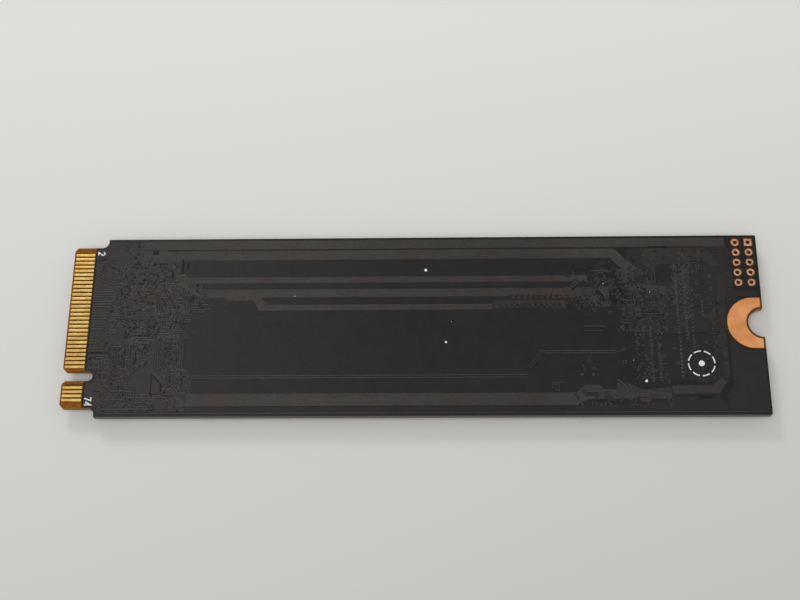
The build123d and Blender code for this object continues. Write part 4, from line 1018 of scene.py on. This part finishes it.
# Builds all of a side's copper on the plain side's mask from its tables, with a shade for each point
def maskedCopper(fields, traces, gaps, strands, vias, viaRows, busyZones):
    parts, shades = [], []

    def keep(made, tones):
        parts.append(made)
        shades.append(np.broadcast_to(tones, len(made[0])))

    # Each line stands a little higher or lower than the ones that it crosses
    def top():
        return relief["height"] + relief["step"] * (len(parts) * relief["stride"] % relief["levels"])

    def gap(line, width, height):
        keep(trace(line, width, plainMaskZ, height), relief["gapTone"])

    for n, (outline, shade) in enumerate(fields):
        keep(field(onCard(outline), plainMaskZ, relief["low"] + relief["step"] * n), shade)
    places = {kind: [(*spot, 0.0) for spot in vias[kind]] for kind in viaLooks}
    for start, step, count, size, kind in viaRows:
        for n in range(count):
            places[kind].append((start[0] + step[0] * n, start[1] + step[1] * n, size, relief["rowTone"]))
    for low, high, pitch, shares, light in busyZones:
        for centre, kind, turn in zip(*busyCells(low, high, pitch, shares)):
            kind, share = busyKinds[kind]
            reach = np.array([math.cos(turn), math.sin(turn)]) * pitch * share
            line = onCard([centre - reach, centre + reach])
            if kind in places:
                places[kind].append((*centre, pitch * share, light))
            elif kind == "link":
                keep(*clearedTrace(line, relief["linkWidth"], top(), light))
            elif kind == "break":
                gap(line, relief["breakWidth"], top() * relief["breakRise"])
    for path, width, light, *beside in traces:
        for line in bundle(onCard(path), *beside):
            keep(*clearedTrace(line, width, top(), light))
    for path, width, *beside in gaps:
        for line in bundle(onCard(path), *beside):
            gap(line, width, top() * relief["gapRise"])
    for start, end, across, width, shade in strands:
        line = onCard([(start, across), (end, across)])
        keep(trace(line, width, plainMaskZ, relief["height"] * relief["strandRise"]), shade)
    for kind, rows in places.items():
        rows = np.array(rows)
        for light in np.unique(rows[:, 3]):
            some = rows[rows[:, 3] == light]
            shape, tones = viaShape(kind, light)
            spots = np.column_stack([onCard(some[:, :2]), np.full(len(some), plainMaskZ)])
            keep(copies(shape, spots, scales=some[:, 2]), np.tile(tones, len(some)))
    return parts, np.concatenate(shades)


copperParts, copperShades = maskedCopper(fields, traces, gaps, strands, vias, viaRows, busyZones)
addPiece("maskedCopperAbove", copperParts, "black_solder_mask", shade=copperShades)
print("copper under the mask made:", len(copperParts), "shapes")


# A meander: the path swings across by reach every pitch, count times
def meander(start, reach, pitch, count):
    steps = np.repeat(np.arange(count), 2)
    swing = np.where(np.arange(2 * count) % 4 % 3 == 0, -reach / 2, reach / 2)
    return np.column_stack([start[0] + swing, start[1] - steps * pitch])


# Copper under the mask on the chip side, in the same kinds of table: pours round the power parts, pairs
# that fan out from the fingers, links between the packages and meanders between controller and memory
chipFields = [
    ([(2.62, 9.75), (3.95, 9.75), (4.3, 10.62), (16.5, 10.62), (16.5, -10.55), (4.3, -10.45),
      (3.95, -9.8), (2.62, -9.7), (2.62, -6.95), (3.5, -6.95), (3.9, -6.6), (3.9, -5.65), (3.5, -5.3),
      (2.62, -5.3)], 0.62),
    ([(7.2, 2.8), (13.4, 2.8), (13.4, 8.6), (7.2, 8.6)], 0.15),
    ([(13.7, -3.9), (16.4, -3.9), (16.4, 10.3), (13.7, 10.3)], 0.05),
    ([(8.2, -7.2), (15.9, -7.2), (15.9, -10.5), (8.2, -10.5)], 0.1),
    ([(4.4, 8.5), (8.1, 8.5), (8.1, 10.5), (4.4, 10.5)], 0.1),
    ([(16.7, 10.62), (75.2, 10.62), (75.2, 10.15), (16.7, 10.15)], 0.35),
    ([(16.7, -10.15), (50.6, -10.15), (50.6, -10.62), (16.7, -10.62)], 0.35),
    ([(31.8, 9.6), (33.8, 9.6), (33.8, -9.6), (31.8, -9.6)], 0.6),
    ([(48.6, 9.9), (64.4, 9.9), (64.4, -7.0), (57.2, -7.0), (55.2, -6.0), (51.0, -6.0), (51.0, -8.9),
      (48.6, -8.9)], 0.6),
    ([(64.8, 9.9), (75.2, 9.9), (75.2, -9.9), (64.8, -9.9)], 0.66),
    ([(66.2, -7.2), (72.6, -7.2), (72.6, -9.3), (66.2, -9.3)], 0.2),
    ([(75.5, 4.1), (79.8, 4.1), (79.8, 3.4), (77.4, 3.35), (75.6, 1.6), (75.6, -1.6), (77.4, -3.35),
      (79.8, -3.4), (79.8, -10.5), (75.5, -10.5)], 0.55),
]
chipTraces = [
    *(([(2.7, y), (4.5, y), (4.9, y - 0.4), (6.0, y - 0.4)], 0.12, -0.1, 2, 0.26)
      for y in np.arange(-3.6, 8.0, 1.0)),
    *(([(7.0, y), (9.6 + n * 0.3, y), (11.6 + n * 0.3, y - 2.0), (17.0, y - 2.0)], 0.12, -0.1, 2, 0.26)
      for n, y in enumerate(np.arange(-3.4, 1.4, 0.9))),
    *(([(31.5, y), (34.1, y)], 0.12, 0.0, 7, 0.3) for y in (7.2, 3.1, -1.2, -5.4)),
    *(([(48.3, y), (51.1, y)], 0.12, 0.0, 8, 0.28) for y in (6.6, 2.8, -0.6, -3.2)),
    *((meander((64.3, y), 1.5, 0.24, 8), 0.1, -0.15) for y in np.arange(7.4, -3.2, -2.1)),
    ([(58.6, -3.8), (58.6, -6.2), (58.0, -6.9), (58.0, -7.6)], 0.13, -0.1, 3, 0.34),
    ([(61.4, -3.8), (61.4, -7.4)], 0.13, -0.1, 3, 0.34),
    ([(53.2, -3.8), (53.2, -7.8)], 0.15, -0.2, 2, 0.9),
    ([(50.4, -7.4), (54.0, -5.2), (55.6, -3.8)], 0.13, -0.1, 2, 0.3),
    ([(16.8, 9.6), (50.9, 9.6)], 0.12, -0.1, 4, 0.25),
    ([(16.8, -9.62), (49.0, -9.62), (50.4, -8.9)], 0.12, -0.1, 3, 0.26),
    ([(64.6, -8.2), (66.2, -8.2)], 0.13, 0.0, 4, 0.3),
    ([(73.5, 6.0), (75.6, 6.0), (76.9, 7.3)], 0.12, -0.1, 4, 0.3),
    ([(73.5, 0.0), (74.6, 0.0), (74.6, -8.0), (73.4, -9.2)], 0.12, -0.05, 4, 0.28),
    ([(4.6, -4.8), (6.6, -6.8), (8.0, -6.8)], 0.13, 0.0, 4, 0.3),
    ([(11.0, -5.9), (16.4, -5.9)], 0.12, -0.05, 5, 0.28),
]
chipRows = [
    ((17.0, 10.4), (1.9, 0), 30, 0.34, "ring"), ((17.0, -10.4), (1.9, 0), 18, 0.34, "ring"),
    ((32.8, 9.2), (0, -0.9), 21, 0.34, "ring"), ((49.0, 9.6), (0.8, 0), 19, 0.32, "ring"),
    ((65.1, 9.4), (0.9, 0), 11, 0.32, "ring"), ((75.2, 9.6), (0, -0.8), 24, 0.34, "ring"),
    ((7.0, 2.6), (0.7, 0), 10, 0.32, "ring"), ((8.4, -7.0), (0.7, 0), 11, 0.34, "ring"),
    ((76.2, -4.4), (0.7, 0), 6, 0.34, "ring"), ((76.2, -10.2), (0.7, 0), 6, 0.34, "ring"),
]
chipZones = [
    ((4.4, -7.4), (7.0, -4.0), 0.62, (0.12, 0.06, 0.12, 0.10, 0.0), 0.1),
    ((7.2, -6.8), (13.6, 2.4), 0.6, (0.14, 0.06, 0.12, 0.10, 0.0), 0.05),
    ((31.6, -9.4), (34.0, 9.4), 0.5, (0.16, 0.08, 0.14, 0.0, 0.0), 0.1),
    ((48.6, -6.4), (51.0, 9.6), 0.5, (0.16, 0.08, 0.14, 0.0, 0.0), 0.1),
    ((50.8, -7.0), (63.4, -3.9), 0.52, (0.16, 0.08, 0.14, 0.06, 0.0), 0.1),
    ((63.4, -9.6), (66.0, -3.4), 0.5, (0.16, 0.08, 0.14, 0.0, 0.0), 0.1),
    ((50.8, 8.7), (64.4, 9.7), 0.5, (0.14, 0.06, 0.14, 0.08, 0.0), 0.1),
    ((73.6, -9.6), (75.4, 9.8), 0.5, (0.12, 0.05, 0.12, 0.05, 0.0), 0.1),
    ((66.0, 8.5), (75.0, 9.8), 0.5, (0.12, 0.05, 0.14, 0.05, 0.0), 0.1),
]
chipVias = {
    "ring": [(3.4, 9.3, 0.4)], "land": [(74.0, 3.4, 0.5), (50.0, -5.4, 0.5), (13.2, -4.6, 0.5)], "hole": [],
}
chipGaps = [([(13.55, -3.9), (13.55, 10.2)], 0.14), ([(8.15, -7.1), (8.15, -10.4)], 0.14)]
copperParts, copperShades = maskedCopper(chipFields, chipTraces, chipGaps, [], chipVias, chipRows, chipZones)
copperBelow = [overturned(part, middleZ) for part in copperParts]
addPiece("maskedCopperBelow", copperBelow, "black_solder_mask", shade=copperShades)
print("copper under the mask made below:", len(copperBelow), "shapes")


# White markings: contact numbers as strokes, a dashed ring with a dot, and small dots one millimetre
# across before they are scaled. Numbers read with the contacts on the left
marks = {
    "thick": 0.048, "stroke": 0.15, "slope": 0.01, "tall": 0.74, "wide": 0.44, "advance": 0.60,
    "dot": [(0, 0.055), (0.35, 0.053), (0.48, 0.045), (0.5, 0), (0, 0)], "dotSides": 16,
    "above": (("2", (2.86, 9.40)), ("74", (2.84, -8.66))),
    "below": (("1", (2.86, 8.95)), ("75", (2.86, -9.75))),
}
markDots = [
    (41.5, 6.8, 0.33), (43.8, -2.2, 0.26), (66.3, -7.0, 0.31), (62.0, 4.95, 0.09), (67.3, 3.85, 0.09),
    (26.3, 3.6, 0.09), (44.4, 0.3, 0.07), (65.0, -4.5, 0.08),
]
ringMark = {
    "centre": (72.6, -4.93), "radius": 1.48, "stroke": 0.2, "dashes": 8, "dashShare": 0.72, "steps": 10,
    "dot": 0.7,
}

# Digits on a unit square, each one stroke
digitStrokes = {
    "1": [(0.2, 0.75), (0.55, 1.0), (0.55, 0.0)],
    "2": [*(arcPoints((0.5, 0.72), 0.28, 165, -35) * (1.5, 1) - (0.25, 0)), (0.08, 0.0), (0.95, 0.0)],
    "4": [(0.95, 0.3), (0.0, 0.3), (0.72, 1.0), (0.72, 0.0)],
    "5": [(0.95, 1.0), (0.2, 1.0), *(arcPoints((0.4, 0.32), 0.32, 115, -140, 10) * (1.3, 1))],
    "7": [(0.05, 1.0), (0.95, 1.0), (0.35, 0.0)],
}


# The strokes of a number from its place on; side is -1 for a number that is turned over afterwards
def numberMarks(text, place, side=1):
    parts = []
    for n, digit in enumerate(text):
        flat = np.array(digitStrokes[digit]) * (marks["wide"], marks["tall"]) + (n * marks["advance"], 0)
        line = onCard(np.column_stack([flat[:, 1], -side * flat[:, 0]]) + place)
        parts.append(trace(line, marks["stroke"], plainMaskZ, marks["thick"], marks["slope"]))
    return parts


markParts = [stroke for number in marks["above"] for stroke in numberMarks(*number)]
span = 360 / ringMark["dashes"]
for n in range(ringMark["dashes"]):
    start, end = n * span, (n + ringMark["dashShare"]) * span
    arc = arcPoints(ringMark["centre"], ringMark["radius"], start, end, ringMark["steps"])
    markParts.append(trace(onCard(arc), ringMark["stroke"], plainMaskZ, marks["thick"]))
dots = np.array([*markDots, (*ringMark["centre"], ringMark["dot"])])
dotPlaces = np.column_stack([onCard(dots[:, :2]), np.full(len(dots), plainMaskZ)])
markParts.append(copies(turned(marks["dot"], marks["dotSides"]), dotPlaces, scales=dots[:, 2]))
addPiece("printedMarks", markParts, "resistor_glaze", finish="marking_ink")
marksBelow = [overturned(stroke, middleZ) for number in marks["below"] for stroke in numberMarks(*number, -1)]
addPiece("printedMarksBelow", marksBelow, "resistor_glaze", finish="marking_ink")
print("marks made")


# Solder balls under the packages: a circle's arc from -bend to bend half turns, swept round and made as
# tall as the gap
ballLook = {"swell": 1.12, "bend": 0.42, "sides": 12, "rows": 6}


def roundBalls(node):
    low, high = solidBoxes(node)
    width = (high[0, 0] - low[0, 0]) / 2 * ballLook["swell"]
    tall = high[0, 2] - low[0, 2]
    bend = ballLook["bend"] * math.pi
    angle = np.linspace(-bend, bend, ballLook["rows"])
    profile = np.column_stack([width * np.cos(angle), np.sin(angle) / math.sin(bend) * tall / 2])[::-1]
    shape = turned(np.vstack([[(0, tall / 2)], profile, [(0, -tall / 2)]]), ballLook["sides"])
    return copies(shape, (low + high) / 2)


for node, title in (
    ("flash_solder_balls", "flashBalls"), ("controller_solder_balls", "controllerBalls"),
    ("buffer_memory_solder_balls", "bufferMemoryBalls"),
):
    addPiece(title, [roundBalls(node)], "solder", (node,), smooth=60)

# Fillets: solder climbs each metal end from three sides, its section a hollow quarter curve
filletLook = {"reach": 0.16, "climb": 0.62, "inset": 0.01, "start": 0.03, "steps": 6}


def endFillets(endsNode, bodiesNode):
    look = filletLook
    low, high = solidBoxes(endsNode)
    bodyLow, bodyHigh = solidBoxes(bodiesNode)
    ends, bodies = (low + high) / 2, (bodyLow + bodyHigh) / 2
    nearest = np.linalg.norm(ends[:, None, :2] - bodies[None, :, :2], axis=2).argmin(1)
    away = ends[:, :2] - bodies[nearest][:, :2]
    bend = np.linspace(0, math.pi / 2, look["steps"])
    parts = []
    for n in range(len(low)):
        alongX = abs(away[n, 0]) > abs(away[n, 1])
        outward = math.degrees(math.atan2(away[n, 1] * (not alongX), away[n, 0] * alongX))
        size = high[n] - low[n]
        deep, wide = size[:2] if alongX else size[1::-1]
        tall = size[2] * look["climb"]
        hollow = np.column_stack([look["reach"] * (1 - np.sin(bend)), tall * (1 - np.cos(bend))])
        profile = np.vstack([[(-look["inset"], 0)], hollow, [(-look["inset"], tall)]])
        back = -deep / 2 + look["start"]
        path = [(back, wide / 2), (deep / 2, wide / 2), (deep / 2, -wide / 2), (back, -wide / 2)]
        parts.append(copies(overturned(carried(path, profile)), [(*ends[n, :2], chipMaskZ)], outward))
    return parts


filletPairs = [
    ("small_capacitor_ends", "small_capacitors"), ("medium_capacitor_ends", "medium_capacitors"),
    ("large_capacitor_ends", "large_capacitors"), ("small_resistor_ends", "small_resistors"),
    ("ferrite_bead_ends", "ferrite_beads"), ("input_fuse_ends", "input_fuse"),
]
filletParts = [part for pair in filletPairs for part in endFillets(*pair)]
addPiece("solderFillets", filletParts, "solder", smooth=50)
print("solder made:", len(filletParts), "fillets")


# Floor, lamps and camera

# Matt white board, smooth and dull, its tone blended between four corners at reach off the middle, with the
# near corners darker by painted light falloff
floorLook = {
    # The darker near corners are painted light falloff
    "size": 900, "farLeft": "#e0e0dc", "farRight": "#e1e1dd", "nearLeft": "#c7c7c4", "nearRight": "#bebcb7",
    "reach": (55, 42), "roughness": 0.85, "grain": 0.8, "grainDepth": 0.01, "specular": 0.1,
}


def floorMaterial():
    look = floorLook
    material, tree = newMaterial("studioFloor")
    across, away = (
        addNode(tree, "MapRange", [placeAlong(tree, axis), -reach * mm, reach * mm, 0.0, 1.0])
        for axis, reach in zip("XY", look["reach"])
    )
    tones = [(colour(look[row + "Left"]), colour(look[row + "Right"])) for row in ("near", "far")]
    near, far = (
        addNode(tree, "Mix", {0: across, 6: left, 7: right}, 2, data_type="RGBA") for left, right in tones
    )
    base = addNode(tree, "Mix", {0: away, 6: near, 7: far}, 2, data_type="RGBA")
    grain = clouds(tree, look["grain"], contrast=0.5)
    finished(tree, base, look["roughness"], grain, look["grainDepth"], Specular_IOR_Level=look["specular"])
    return material


half = floorLook["size"] / 2
floorMesh = bpy.data.meshes.new("studioFloor")
corners = [(x * half * mm, y * half * mm, 0) for x, y in ((-1, -1), (1, -1), (1, 1), (-1, 1))]
floorMesh.from_pydata(corners, [], [[0, 1, 2, 3]])
floorMesh.materials.append(floorMaterial())
floor = bpy.data.objects.new("studioFloor", floorMesh)
bpy.context.scene.collection.objects.link(floor)

# An even white room, a little brighter above
roomLook = {"zenith": 0.47, "horizon": 0.40}
world = bpy.data.worlds.new("softRoom")
bpy.context.scene.world = world
world.use_nodes = True
tree = world.node_tree
tree.nodes.clear()
upward = addNode(tree, "SeparateXYZ", [addNode(tree, "TexCoord", output="Generated")], "Z")
strength = addNode(tree, "MapRange", [upward, 0.0, 1.0, roomLook["horizon"], roomLook["zenith"]])
background = addNode(tree, "Background", {"Color": (1, 1, 1, 1), "Strength": strength})
addNode(tree, "OutputWorld", {"Surface": background})

# Watts, side and place of each lamp, in millimetres; both look at the middle of the card
lampLook = {
    "ceilingPanel": (1.0, 260, (-40, -160, 420)),
    "windowSide": (0.56, 110, (-190, 380, 330)),
}
for name, (watts, side, place) in lampLook.items():
    light = bpy.data.lights.new(name, "AREA")
    light.energy = watts
    light.size = side * mm
    lamp = bpy.data.objects.new(name, light)
    bpy.context.scene.collection.objects.link(lamp)
    lamp.location = [value * mm for value in place]
    x, y, z = place
    lamp.rotation_euler = (math.atan2(math.hypot(x, y), z), 0, math.atan2(-y, -x) - math.pi / 2)

# The view of the photo, solved from the known sizes of the card
cameraLook = {
    "lens": 63.09, "sensor": 36, "nearest": 5,
    "turn": (22.804, 1.803, 0.384), "place": (3.639, -59.795, 151.554),
}
cameraData = bpy.data.cameras.new("photoCamera")
cameraData.lens = cameraLook["lens"]
cameraData.sensor_width = cameraLook["sensor"]
cameraData.clip_start = cameraLook["nearest"] * mm
camera = bpy.data.objects.new("photoCamera", cameraData)
bpy.context.scene.collection.objects.link(camera)
camera.rotation_euler = [math.radians(value) for value in cameraLook["turn"]]
camera.location = [value * mm for value in cameraLook["place"]]
bpy.context.scene.camera = camera
bpy.context.scene.view_settings.view_transform = "Standard"
print("stage set")
